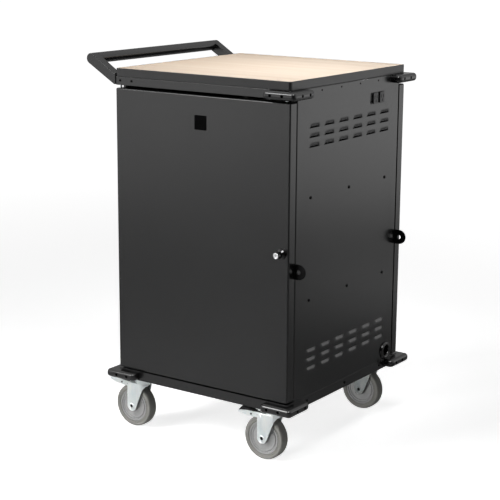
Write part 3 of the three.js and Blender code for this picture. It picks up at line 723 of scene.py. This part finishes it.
def handle():
    centre = (GRIP_X, GRIP_Z)
    high = tangent((FOOT_X[1], FOOT_Z[1]), centre, GRIP_RADIUS, 1)
    low = tangent((FOOT_X[1], FOOT_Z[0]), centre, GRIP_RADIUS, -1) + 360
    shape = [(FOOT_X[0], FOOT_Z[0]), (FOOT_X[0], FOOT_Z[1]), (FOOT_X[1], FOOT_Z[1]),
             *arc(GRIP_X, GRIP_Z, GRIP_RADIUS, high, low, 28), (FOOT_X[1], FOOT_Z[0])]
    for end, side in ENDS:
        bm = bmesh.new()
        slab(bm, shape, "Y", *between(side, ARM_INNER, ARM_OUTER))
        piece(f"handle_arm_{end}", bm, "powder_coat", f"handle_{end}_arm", edge=2.6, steps=4)
    bm = bmesh.new()
    lathe(bm, both_sides([(0, GRIP_HALF), (GRIP_RADIUS, GRIP_HALF)]), "Y", (GRIP_X, 0, GRIP_Z), 64)
    piece("handle_bar", bm, "powder_coat", "handle_grip")


# Corner bumpers
BUMPER_LEG, BUMPER_OUT, BUMPER_HALF = 73.0, 28.0, 11.5
BUMPER_BEND, BUMPER_END, BUMPER_ROUND = 10.5, 14.0, 9.5
BUMPER_HOLES = (10.5, 47.0)
HOLE_RADIUS, HOLE_MOUTH = 4.0, 4.6
HOLE_CHAMFER, HOLE_END = 1.2, 9.0
BASE_BUMPER_Z, TOP_BUMPER_Z, RAIL_FACE = 164.5, 1000.0, 294.0
CORNERS = (("front", "right"), ("rear", "right"), ("rear", "left"), ("front", "left"))


def bumper_outline(inset):
    out, leg, end, bend = (size - inset for size in (BUMPER_OUT, BUMPER_LEG, BUMPER_END, BUMPER_BEND))
    return [
        (CLEAR, -CLEAR), (-leg, -CLEAR),
        *arc(end - leg, end - out, end, 180, 270, 8),
        *arc(out - bend, bend - out, bend, -90, 0, 12),
        *arc(out - end, leg - end, end, 0, 90, 8),
        (CLEAR, leg),
    ]


def bumper(name, node, x, y, z, quarters):
    """An L on an outside corner, drawn on the corner that faces +X and -Y, then turned by quarters."""
    curve = [radians(90 * k / 6) for k in range(7)]
    upper = [(BUMPER_HALF - BUMPER_ROUND * (1 - sin(t)), BUMPER_ROUND * (1 - cos(t))) for t in curve]
    levels = [(-height, inset) for height, inset in reversed(upper)] + upper
    bm, cuts = bmesh.new(), bmesh.new()
    stack(bm, [[(a, b, height) for a, b in bumper_outline(inset)] for height, inset in levels])
    hole = [(0, BUMPER_OUT + PAST), (HOLE_MOUTH, BUMPER_OUT + PAST), (HOLE_RADIUS, BUMPER_OUT - HOLE_CHAMFER),
            (HOLE_RADIUS, HOLE_END), (0, HOLE_END)]
    for along in BUMPER_HOLES:
        lathe(cuts, facing(hole, -1), "Y", (-along, 0, 0), 20)
        lathe(cuts, hole, "X", (0, along, 0), 20)
    turn = Matrix.Translation((x, y, z)) @ Matrix.Rotation(quarters * pi / 2, 4, "Z")
    for mesh in (bm, cuts):
        bmesh.ops.transform(mesh, matrix=turn, verts=mesh.verts)
    piece(name, bm, "bumper_plastic", node, cuts=cuts)


def bumpers():
    levels = (("base", CORNERS, HALF_DEPTH, BASE_BUMPER_Z), ("top", CORNERS[:2], RAIL_FACE, TOP_BUMPER_Z))
    for level, corners, depth, z in levels:
        for quarters, (end, hand) in enumerate(corners):
            x = RIGHT if hand == "right" else LEFT
            y = -depth if end == "front" else depth
            bumper(f"bumper_{level}_{end}_{hand}", f"{end}_{hand}_{level}_bumper", x, y, z, quarters)


# Sockets and grommet
BLADES = ((-6, 4.8), (6, 4.1))
BLADE_HALF, BLADE_RISE, BLADE_CORNER = 1.4, 3.0, 0.4
GROUND_RADIUS, GROUND_LOW, GROUND_HIGH = 3.2, 7.5, 4.6
STRIP_ZS = {"lower": 268.3, "middle": 536.3, "upper": 814.3}
STRIP_FACE, STRIP_PITCH, STRIP_SOCKETS = 178.3, 60.0, 8
STRIP_SOCKET_HALF, STRIP_SOCKET_CORNER = (12.6, 12.6), 3.0
STRIP_SOCKET_BACK, STRIP_SOCKET_FRONT, STRIP_SLOT_FLOOR = 4.2, 0.8, 1.6
OUTLET_RIM, OUTLET_RIM_CORNER = (36.0, 16.0), 2.0
OUTLET_RIM_PROUD, OUTLET_BODY_PROUD, OUTLET_DEEP = 0.9, 0.6, 25.0
SOCKET_HALF, SOCKET_CORNER, SOCKET_PITCH = (11.75, 14.5), 2.5, 34.8
SOCKET_PROUD, SOCKET_FACE, SLOT_DEEP = 5.0, 1.0, 0.8
GROMMET_RING = [(14.6, -4.8), (18, -4.8), (21, -1.8), (18, -1.8), (18, 0.3), *arc(20.2, 0.9, 5.6, 0, 180, 14)]


def socket_slots(cuts, axis, a, b, low, high):
    """Two blade slots and a ground hole, around a place on a face across the axis."""
    for blade, half in BLADES:
        slab(cuts, centred(a + blade, b + BLADE_RISE, (BLADE_HALF, half), BLADE_CORNER, 2), axis, low, high)
    ground = [*arc(a, b - GROUND_LOW, GROUND_RADIUS, 180, 360, 12),
              (a + GROUND_RADIUS, b - GROUND_HIGH), (a - GROUND_RADIUS, b - GROUND_HIGH)]
    slab(cuts, ground, axis, low, high)


def strip_sockets(tier, z):
    """The sockets of a power strip, each set into its recess."""
    bm, cuts = bmesh.new(), bmesh.new()
    low, high = STRIP_FACE - STRIP_SOCKET_BACK, STRIP_FACE - STRIP_SOCKET_FRONT
    for index in range(STRIP_SOCKETS):
        x = MIDDLE + (index - (STRIP_SOCKETS - 1) / 2) * STRIP_PITCH
        slab(bm, centred(x, z, STRIP_SOCKET_HALF, STRIP_SOCKET_CORNER), "Y", low, high)
        socket_slots(cuts, "Y", x, z, low + STRIP_SLOT_FLOOR, high + PAST)
    piece(f"{tier}_strip_sockets", bm, "gloss_black", body="cabinet", cuts=cuts)


def side_outlet():
    """Two mains sockets in one frame. Each has a body that stands out, in a darker and duller copy of the
    face's black as painted shade on its sides, and a brighter face.
    """
    bm = bmesh.new()
    rim = centred(OUTLET_Y, OUTLET_Z, OUTLET_RIM, OUTLET_RIM_CORNER)
    slab(bm, rim, "X", RIGHT + CLEAR, RIGHT + OUTLET_RIM_PROUD)
    body = centred(OUTLET_Y, OUTLET_Z, OUTLET_HALF, OUTLET_CORNER, 2)
    slab(bm, body, "X", RIGHT - OUTLET_DEEP, RIGHT + OUTLET_BODY_PROUD)
    piece("outlet_frame", bm, "black_plastic", "side_outlet", edge=0.2)
    face = RIGHT + SOCKET_PROUD
    for index, side in enumerate((-0.5, 0.5)):
        y = OUTLET_Y + side * SOCKET_PITCH
        shape = centred(y, OUTLET_Z, SOCKET_HALF, SOCKET_CORNER)
        bm = bmesh.new()
        slab(bm, shape, "X", RIGHT + OUTLET_BODY_PROUD, face - SOCKET_FACE)
        # The flat black body is painted shade on the sockets' sides
        piece(f"outlet_socket_{index}", bm, "flat_black", body="cabinet", edge=0.3)
        bm, cuts = bmesh.new(), bmesh.new()
        slab(bm, shape, "X", face - SOCKET_FACE, face)
        socket_slots(cuts, "X", y, OUTLET_Z, face - SLOT_DEEP, face + 3 * PAST)
        piece(f"outlet_face_{index}", bm, "black_plastic", body="cabinet", cuts=cuts, edge=0.3)


def cord_grommet():
    bm = bmesh.new()
    lathe(bm, GROMMET_RING, "X", (RIGHT, GROMMET_Y, GROMMET_Z), 56, True)
    piece("cord_grommet_ring", bm, "gloss_black", "cord_grommet")


# Screws: the dome and the cross are in shares of a head's radius and height
SCREW_DOME = [(1, 0.35), (0.86, 0.72), (0.5, 0.95), (0, 1)]
CROSS_WIDE, CROSS_LONG, CROSS_FLOOR = 0.2, 0.58, 0.25
SHELF_SCREW, RIM_SCREW, RAIL_SCREW = (4.6, 2.4), (2.6, 1.0), (3.6, 1.8)
SHELF_SCREW_YS, SHELF_SCREW_ZS = (-195, 0, 195), (724, 446, 165)
RIM_SCREW_YS, RAIL_SCREW_XS = (-147, -49, 49, 147), (-237, -197)
TOP_SCREW_Z = 1002.0


def screw_head(bm, cuts, axis, direction, centre, size):
    """A low round head with a cross recess."""
    radius, height = size
    profile = [(0, -PAST), (radius, -PAST), *((a * radius, b * height) for a, b in SCREW_DOME)]
    lathe(bm, facing(profile, direction), axis, centre, 20)
    wide, long = CROSS_WIDE * radius, CROSS_LONG * radius
    cx, cy, cz = centre
    low, high = between(direction, CROSS_FLOOR * height, height + PAST)
    across, up, along = {"X": (cy, cz, cx), "Y": (cx, cz, cy)}[axis]
    cross = [(-long, -wide), (-wide, -wide), (-wide, -long), (wide, -long), (wide, -wide), (long, -wide),
             (long, wide), (wide, wide), (wide, long), (-wide, long), (-wide, wide), (-long, wide)]
    slab(cuts, [(across + a, up + b) for a, b in cross], axis, along + low, along + high)


def screws():
    for name, x, out in (("screws_right", RIGHT, 1), ("screws_left", LEFT, -1)):
        bm, cuts = bmesh.new(), bmesh.new()
        for z in SHELF_SCREW_ZS:
            for y in SHELF_SCREW_YS:
                screw_head(bm, cuts, "X", out, (x, y, z), SHELF_SCREW)
        for y in RIM_SCREW_YS:
            screw_head(bm, cuts, "X", out, (x, y, TOP_SCREW_Z), RIM_SCREW)
        piece(name, bm, "matt_black", body="cabinet", cuts=cuts)
    for end, side in ENDS:
        bm, cuts = bmesh.new(), bmesh.new()
        for x in RAIL_SCREW_XS:
            screw_head(bm, cuts, "Y", side, (x, side * RAIL_FACE, TOP_SCREW_Z), RAIL_SCREW)
        piece(f"screws_{end}", bm, "matt_black", body="cabinet", cuts=cuts)


# Casters, each measured from its swivel axis on the floor, but the raceway from the fork's top
CASTER_XS, CASTER_Y = {"left": -191.5, "right": 263.5}, 258.0
WHEEL_RADIUS, TRAIL = 62.5, 30.0
FORK_OUTER, FORK_SHEET = 23.0, 3.0
FORK_TIP, FORK_BEND, FORK_TOP = 15.0, 3.0, 134.2
FORK_MIDDLE, FORK_NOTCH = 82.5, -34.0
FORK_FLARE = [(3, 104), (9, 117), (14, 125), (20, 129)]
FORK_NOSE = [(4, FORK_OUTER), (6.5, 22.4), (9, 20.9), (11.5, 18.0), (13.5, 14.2), (15, 10.6), (16.2, 7.0),
             (17, 3.8)]
FORK_TIP_ANGLES = (0, 10, 20, 32, 45, 60, 75, 90, 105, 120, 135)
FORK_COLUMNS = [-15, -10, -4, 0, 3]
LEG_STEPS, BEND_STEPS = 5, 4
RACEWAY = [(8.4, -0.5), (24, -0.5), (26.2, 1.5), (27, 4), (26.4, 6), (25.2, 6.6), (26.4, 7.2), (27, 9),
           (26, 11.2), (24, 12), (8.4, 12)]
PLATE_TOP, PLATE_LOW = 150.7, 146.7
PLATE_HALF, PLATE_CORNER = (47.5, 32.0), 7.0
BOLT_X, BOLT_Y, BOLT_RADIUS, BOLT_TURN = 36.0, 23.0, 6.6, 15
BOLT_LOW, BOLT_HIGH = 4.2, 0.6
BOLT_SLOT, BOLT_SLOT_CORNER = (5.0, 4.0), 3.9
WASHER_RADIUS, WASHER_THICK = 7.6, 0.8
KINGPIN = [(0, 127.2), (11.5, 127.2), (13, 128.4), (13, 130.7), (8, 130.7), (8, PLATE_LOW), (0, PLATE_LOW)]

# Turned profiles, each on one side of the wheel's middle
AXLE = [(0, 20), (5.0, 20), (5.0, 24.2), (5.4, 24.7), (6.6, 24.8), (7.8, 24.5), (8.4, 23.8), (8.6, 23.2),
        (6, 23.2)]
AXLE_SHADE_PLUG = [(0, 21), (4.9, 21), (4.9, 23.4), (4.2, 23.9), (2.0, 23.7), (0, 23.6)]
HUB = [(6.3, 18.0), (11.5, 18.0), (13.6, 17.2), (14.6, 15.4), (15.2, 13.0), (17, 12.2), (33, 11.6),
       (35, 12.0), (36, 13.4), (37.2, 13.8), (38.4, 13.2), (39.2, 11.4), (40.6, 11.0), (42, 11.6),
       (42.8, 13.6), (44.2, 14.4), (46.4, 14.2)]
TYRE = [(46.6, 13.6), (47.4, 12.8), (48.4, 13.2), (49.2, 14.8), (50.6, 15.5), (52.0, 15.0), (52.8, 14.4),
        (56.0, 15.9), (57.6, 15.9), (59.4, 15.2), (61.0, 13.6), (62.0, 11.0), (62.4, 7.0), (62.5, 2.5)]

# Brake pedals: outlines are seen from the front and measured from the pivot
PEDAL_X, PEDAL_Z = -40.0, 129.7
PEDAL_LIFT = {"left": 6.0, "right": 0.0}
LEVER = [(4.5, 3.0), (4.5, -3.0), (1, -6.5), (-9, -12.0), (-27, -12.8), (-42, -12.4), (-58, -10.6),
         (-69, -8.6), (-72, -6.4), (-71.5, -3.6), (-66, -1.2), (-45, 1.8), (-22, 1.8), (-8, 3.0)]
DECK = [(-8, 1.4), (-22, 0.2), (-45, 0.2), (-66, -2.8), (-71, -4.8), (-71, -2.8), (-66, -0.8), (-45, 2.2),
        (-22, 2.2), (-8, 3.4)]
PAD = [(-2, 3.8), (-8, 4.4), (-22, 7.6), (-40, 8.6), (-50, 10.2), (-56, 12.2), (-58.5, 11.6), (-70.5, -1.4),
       (-70, -2.6), (-66, -0.7), (-45, 2.3), (-22, 2.3), (-8, 3.5)]
LEVER_INNER, LEVER_OUTER, DECK_HALF, PAD_HALF = 17.0, 19.2, 17.2, 18.0
PEDAL_PIN_RADIUS, PEDAL_PIN_HALF = 3.5, 19.4
RIB_XS, RIB_THICK, RIB_HALF = (-26, -31, -36, -41), 1.2, 15.0
RIB_LOW, RIB_HIGH = 6.0, 9.6
RIVETS = ((-28, -5.5), (-6, -4.5))
RIVET = [(0, 18.5), (2.6, 18.5), (2.6, 19.9), (2.0, 20.6), (0, 20.8)]


def caster_plate(name, x, y):
    spots = [(x + sx * BOLT_X, y + sy * BOLT_Y) for sx in (-1, 1) for sy in (-1, 1)]
    bm, bolts = bmesh.new(), bmesh.new()
    slots = [centred(bx, by, BOLT_SLOT, BOLT_SLOT_CORNER) for bx, by in spots]
    slab(bm, centred(x, y, PLATE_HALF, PLATE_CORNER), "Z", PLATE_LOW, PLATE_TOP, slots)
    piece(f"{name}_top_plate", bm, "zinc", f"{name}_caster_plate", edge=0.5)
    for bx, by in spots:
        head = disc(bx, by, BOLT_RADIUS, 6, BOLT_TURN)
        slab(bolts, head, "Z", PLATE_LOW - BOLT_LOW, PLATE_LOW - BOLT_HIGH)
        slab(bolts, disc(bx, by, WASHER_RADIUS, 24), "Z", PLATE_LOW - WASHER_THICK, PLATE_LOW)
    piece(f"{name}_plate_bolts", bolts, "zinc", body="cabinet", edge=0.5)
    upright_pin(f"{name}_kingpin", KINGPIN, x, y, body="cabinet", segments=32)


def fork_low(x):
    """How low the fork's leg reaches at a place along its length."""
    start = tangent(FORK_FLARE[0], (-TRAIL, WHEEL_RADIUS), FORK_TIP, -1)
    touch = FORK_TIP * cos(radians(start)) - TRAIL
    if x <= touch:
        reach = max(0.0, FORK_TIP ** 2 - (x + TRAIL) ** 2)
        return WHEEL_RADIUS - reach ** 0.5
    return value_at([(touch, WHEEL_RADIUS + FORK_TIP * sin(radians(start))), *FORK_FLARE], x)


def fork_row(x0, y0, x, bridged):
    """A cross section of half the fork, from the tip of a leg up to its top, or on to the bridge."""
    half = FORK_OUTER if x < FORK_NOSE[0][0] else value_at(FORK_NOSE, x)
    start = FORK_TOP - FORK_BEND
    low = fork_low(x)
    leg = [(-half, low + (start - low) * k / LEG_STEPS) for k in range(LEG_STEPS + 1)]
    for k in range(1, BEND_STEPS + 1):
        t = pi / 2 * k / BEND_STEPS
        bent = (FORK_BEND * (1 - cos(t)) - half, start + FORK_BEND * sin(t))
        straight = (-half, start + FORK_BEND * k / BEND_STEPS)
        leg.append(bent if bridged else straight)
    return [(x0 + x, y0 + y, z) for y, z in leg]


def flipped(row, y0):
    return [(x, 2 * y0 - y, z) for x, y, z in row]


def caster_fork(name, x, y, braked):
    bm = bmesh.new()
    columns = [-TRAIL - FORK_TIP * cos(radians(a)) for a in FORK_TIP_ANGLES]
    columns += FORK_COLUMNS + [c for c, _ in FORK_NOSE]
    notch = FORK_NOTCH if braked else columns[0]
    columns = sorted(set(columns + [notch]))
    open_rows = [fork_row(x, y, c, False) for c in columns if c <= notch]
    if len(open_rows) > 1:
        grid(bm, open_rows)
        grid(bm, [flipped(row, y) for row in open_rows])
    halves = [fork_row(x, y, c, True) for c in columns if c >= notch]
    grid(bm, [half + flipped(half, y)[::-1] for half in halves])
    piece(f"{name}_fork", bm, "zinc", f"{name}_caster_fork", inside=(x - TRAIL, y, FORK_MIDDLE),
          thick=FORK_SHEET, edge=0.8, steps=2)
    bm = bmesh.new()
    lathe(bm, RACEWAY, "Z", (x, y, FORK_TOP), 48, True)
    piece(f"{name}_raceway", bm, "zinc", body=f"{name}_swivel")


def caster_axle(name, x, y):
    """A hollow axle with rolled ends, and a black plug set back in each end as painted shade in the hollow.
    """
    centre = (x - TRAIL, y, WHEEL_RADIUS)
    bm, shade_plugs = bmesh.new(), bmesh.new()
    lathe(bm, both_sides(AXLE), "Y", centre, 32)
    piece(f"{name}_axle", bm, "zinc", f"{name}_caster_axle")
    # The black plugs are painted shade inside the hollow ends
    for side in (-1, 1):
        lathe(shade_plugs, facing(AXLE_SHADE_PLUG, side), "Y", centre, 24)
    piece(f"{name}_axle_plugs", shade_plugs, "black_plastic", body=f"{name}_swivel")


def wheel(name, x, y):
    centre = (x - TRAIL, y, WHEEL_RADIUS)
    for part, half, segments, finish in (("hub", HUB, 72, "hub_plastic"), ("tyre", TYRE, 96, "tyre_rubber")):
        bm = bmesh.new()
        lathe(bm, both_sides(half), "Y", centre, segments, True)
        piece(f"{name}_{part}", bm, finish, f"{name}_wheel_{part}")


def brake_pedal(name, x, y, lift):
    """A zinc lever with a black pad, turned up by a lift about its pivot."""
    px, body = x + PEDAL_X, f"{name}_pedal"
    pivot = Vector((px, y, PEDAL_Z))
    turn = Matrix.Rotation(radians(lift), 3, "Y")

    def placed(outline):
        return [(px + a, PEDAL_Z + b) for a, b in outline]

    bm, pad, rivets = bmesh.new(), bmesh.new(), bmesh.new()
    for side in (-1, 1):
        slab(bm, placed(LEVER), "Y", *sorted((y + side * LEVER_INNER, y + side * LEVER_OUTER)))
    lathe(bm, both_sides([(0, PEDAL_PIN_HALF), (PEDAL_PIN_RADIUS, PEDAL_PIN_HALF)]), "Y", pivot, 24)
    slab(bm, placed(DECK), "Y", y - DECK_HALF, y + DECK_HALF)
    slab(pad, placed(PAD), "Y", y - PAD_HALF, y + PAD_HALF)
    for along in RIB_XS:
        box(pad, (px + along - RIB_THICK, px + along + RIB_THICK), (y - RIB_HALF, y + RIB_HALF),
            (PEDAL_Z + RIB_LOW, PEDAL_Z + RIB_HIGH))
    for along, up in RIVETS:
        for side in (-1, 1):
            lathe(rivets, facing(RIVET, side), "Y", (px + along, y, PEDAL_Z + up), 20)
    for mesh in (bm, pad, rivets):
        bmesh.ops.rotate(mesh, cent=pivot, matrix=turn, verts=mesh.verts)
    piece(f"{name}_pedal_lever", bm, "zinc", f"{name}_brake_pedal", edge=0.5, steps=2)
    piece(f"{name}_pedal_pad", pad, "black_plastic", body=body, edge=0.7, steps=2)
    piece(f"{name}_pedal_rivets", rivets, "bumper_plastic", body=body)


def casters():
    for end, side in ENDS:
        for hand, x in CASTER_XS.items():
            name, y = f"{end}_{hand}", side * CASTER_Y
            braked = end == "front"
            caster_plate(name, x, y)
            caster_fork(name, x, y, braked)
            caster_axle(name, x, y)
            wheel(name, x, y)
            if braked:
                brake_pedal(name, x, y, PEDAL_LIFT[hand])


# Carried-over nodes
dress("base_pan", "powder_coat", 0.3)
dress("top_pan", "powder_coat", 1.0)
# The shelves and racks take the lightened inner coat, which is painted light
for kept in ("lower_shelf", "upper_shelf", "lower_divider_rack", "middle_divider_rack", "upper_divider_rack"):
    dress(kept, "inner_coat_painted_light", 0.4)
for tier in STRIP_ZS:
    dress(f"{tier}_power_strip", "strip_black", 1.0)

# New pieces
for end, side in ENDS:
    door(end, side)
    for holder, y in (("door", DOOR_BACK), ("cabinet", CABINET_HASP)):
        hasp(f"{end}_hasp_on_{holder}", f"{end}_{holder}_hasp", *between(side, y, y + HASP_THICK))
    lock(end, side)
    upright_pin(f"{end}_upper_pivot", HINGE_PIN, HINGE_X, side * HINGE_Y, f"{end}_hinge_pin")
    upright_pin(f"{end}_stop_stud", STOP_STUD, STUD_X, side * STUD_Y, body="cabinet")
door_plate()
side_panel("side_sheet_right", "right_side_panel", RIGHT, -1, right_panel_holes())
side_panel("side_sheet_left", "left_side_panel", LEFT, 1)
worktop()
handle()
bumpers()
side_outlet()
for tier, height in STRIP_ZS.items():
    strip_sockets(tier, height)
cord_grommet()
screws()
casters()

# Camera at the photograph's viewing angle
CAMERA_AZIMUTH, CAMERA_ELEVATION, CAMERA_ROLL = radians(34.7755), radians(12.9532), radians(0.391)
CAMERA_TARGET, CAMERA_AWAY = (-4.08, 0, 502.36), 4103.0
CAMERA_LENS, CAMERA_SENSOR = 102.09, 36


def add_camera():
    flat = cos(CAMERA_ELEVATION)
    back = Vector((sin(CAMERA_AZIMUTH) * flat, -cos(CAMERA_AZIMUTH) * flat, sin(CAMERA_ELEVATION)))
    level = Vector((cos(CAMERA_AZIMUTH), sin(CAMERA_AZIMUTH), 0))
    upright = back.cross(level)
    right = level * cos(CAMERA_ROLL) + upright * sin(CAMERA_ROLL)
    up = upright * cos(CAMERA_ROLL) - level * sin(CAMERA_ROLL)
    data = bpy.data.cameras.new("camera")
    data.sensor_width = CAMERA_SENSOR
    data.lens = CAMERA_LENS
    camera = bpy.data.objects.new("camera", data)
    turn = Matrix((right, up, back)).transposed().to_4x4()
    camera.matrix_world = Matrix.Translation((Vector(CAMERA_TARGET) + back * CAMERA_AWAY) * MM) @ turn
    scene.collection.objects.link(camera)
    scene.camera = camera


# Studio: lengths are in metres, and a range of a direction is in shares of straight ahead
WHITE = (1, 1, 1, 1)
AMBIENT = 0.06
DARK_SIDE, DARK_RANGE = (0.57, -0.82, 0.0), (0.45, 0.85)
DIM_BACK, DIM_RANGE, DIM_LEVEL = (-0.34, 0.94, 0.0), (0.66, 0.8), 0.35
FLOOR_TONE = (0.88, 0.88, 0.88, 1)
FLOOR_RADIUS = 40.0
FLOOR_SEEN, FLOOR_SEEN_NEAR = (1.5, 4.5), 0.78
FLOOR_MIRRORED = (1.35, 4.2)


def in_gloss(tree, path):
    return larger(tree, path.outputs["Is Glossy Ray"], path.outputs["Is Transmission Ray"])


def fade(tree, start, stop, low, high):
    """A value that changes with the distance from the object."""
    place = tree.nodes.new("ShaderNodeTexCoord").outputs["Object"]
    away = joined(tree, "ShaderNodeVectorMath", "LENGTH", place)
    return ranged(tree, away.outputs["Value"], start, stop, low, high)


def toward(tree, coordinates, direction):
    """How far a place lies in a direction: one straight ahead, zero to the side."""
    place = tree.nodes.new("ShaderNodeTexCoord").outputs[coordinates]
    way = joined(tree, "ShaderNodeVectorMath", "NORMALIZE", place)
    return dot(tree, way.outputs["Vector"], direction)


def off_the_dark_side(tree, coordinates):
    """One all round the studio, but zero on its unlit front right side, and low at the back."""
    front = ranged(tree, toward(tree, coordinates, DARK_SIDE), *DARK_RANGE, 1.0, 0.0)
    back = ranged(tree, toward(tree, coordinates, DIM_BACK), *DIM_RANGE, 1.0, DIM_LEVEL)
    return times(tree, front, back)


def add_world():
    """A dim even light, which the camera and glossy surfaces see as white."""
    world = bpy.data.worlds.new("studio")
    world.use_nodes = True
    tree = world.node_tree
    soft = tree.nodes["Background"]
    white = tree.nodes.new("ShaderNodeBackground")
    for background, strength in ((soft, AMBIENT), (white, 1.0)):
        background.inputs["Color"].default_value = WHITE
        background.inputs["Strength"].default_value = strength
    path = tree.nodes.new("ShaderNodeLightPath")
    in_mirrors = times(tree, in_gloss(tree, path), off_the_dark_side(tree, "Generated"))
    mix = tree.nodes.new("ShaderNodeMixShader")
    tree.links.new(larger(tree, path.outputs["Is Camera Ray"], in_mirrors), mix.inputs["Fac"])
    tree.links.new(soft.outputs["Background"], mix.inputs[1])
    tree.links.new(white.outputs["Background"], mix.inputs[2])
    tree.links.new(mix.outputs["Shader"], tree.nodes["World Output"].inputs["Surface"])
    scene.world = world


def add_floor():
    """A pale floor that runs out to white."""
    material = bpy.data.materials.new("studio_floor")
    material.use_nodes = True
    tree = material.node_tree
    tree.nodes.clear()
    pale = tree.nodes.new("ShaderNodeBsdfDiffuse")
    pale.inputs["Color"].default_value = FLOOR_TONE
    path = tree.nodes.new("ShaderNodeLightPath")
    direct = times(tree, path.outputs["Is Camera Ray"], fade(tree, *FLOOR_SEEN, FLOOR_SEEN_NEAR, 1.0))
    far = fade(tree, *FLOOR_MIRRORED, 0.0, 1.0)
    lit = times(tree, off_the_dark_side(tree, "Object"), times(tree, far, far))
    glow = tree.nodes.new("ShaderNodeEmission")
    strength = larger(tree, direct, times(tree, in_gloss(tree, path), lit))
    tree.links.new(strength, glow.inputs["Strength"])
    both = tree.nodes.new("ShaderNodeAddShader")
    tree.links.new(pale.outputs["BSDF"], both.inputs[0])
    tree.links.new(glow.outputs["Emission"], both.inputs[1])
    output = tree.nodes.new("ShaderNodeOutputMaterial")
    tree.links.new(both.outputs["Shader"], output.inputs["Surface"])
    bm = bmesh.new()
    bmesh.ops.create_circle(bm, cap_ends=True, segments=96, radius=FLOOR_RADIUS / MM)
    floor = as_object("studio_floor", bm)
    floor.data.materials.append(material)


def add_lamp(name, place, aim, size, energy, spread=180, diffuse=True, mirrored=True):
    """A soft box, which may be kept out of matt or of glossy surfaces."""
    data = bpy.data.lights.new(name, "AREA")
    data.shape = "RECTANGLE"
    data.size, data.size_y = size
    data.energy = energy
    data.spread = radians(spread)
    lamp = bpy.data.objects.new(name, data)
    lamp.location = place
    lamp.rotation_euler = (Vector(aim) - Vector(place)).to_track_quat("-Z", "Y").to_euler()
    lamp.visible_camera = False
    lamp.visible_diffuse = diffuse
    lamp.visible_glossy = mirrored
    scene.collection.objects.link(lamp)


add_camera()
add_world()
add_floor()

# Lamps: name, place, aim, size, watts, spread
add_lamp("overhead_box", (0.6, -0.1, 1.8), (0.0, 0.02, 1.0), (0.7, 0.7), 3.4, 76, mirrored=False)
add_lamp("front_box", (-1.9, -3.2, 2.7), (0.05, -0.85, 0.0), (1.7, 1.9), 13.8, 50)
add_lamp("camera_side_box", (1.4, -1.9, 3.2), (0.3, -0.2, 0.6), (1.3, 1.3), 11, 60, diffuse=False)
add_lamp("low_left_box", (-2.2, -4.2, 0.6), (0.0, -0.3, 0.7), (2.6, 0.9), 4.8)
add_lamp("low_right_box", (2.9, 3.75, 0.6), (0.3, 0.0, 0.7), (2.6, 0.9), 2.8)
add_lamp("wheel_box", (-1.9, -4.8, 0.38), (0.1, 0.0, 0.08), (1.6, 0.4), 3.7, 24, mirrored=False)
add_lamp("back_floor_box", (1.5, 2.5, 1.9), (1.05, 1.5, 0.0), (0.5, 0.5), 1.4, 40, mirrored=False)
add_lamp("rear_wheel_box", (-1.4, 4.8, 0.38), (0.0, 0.0, 0.2), (1.6, 0.4), 3.4, 28, mirrored=False)
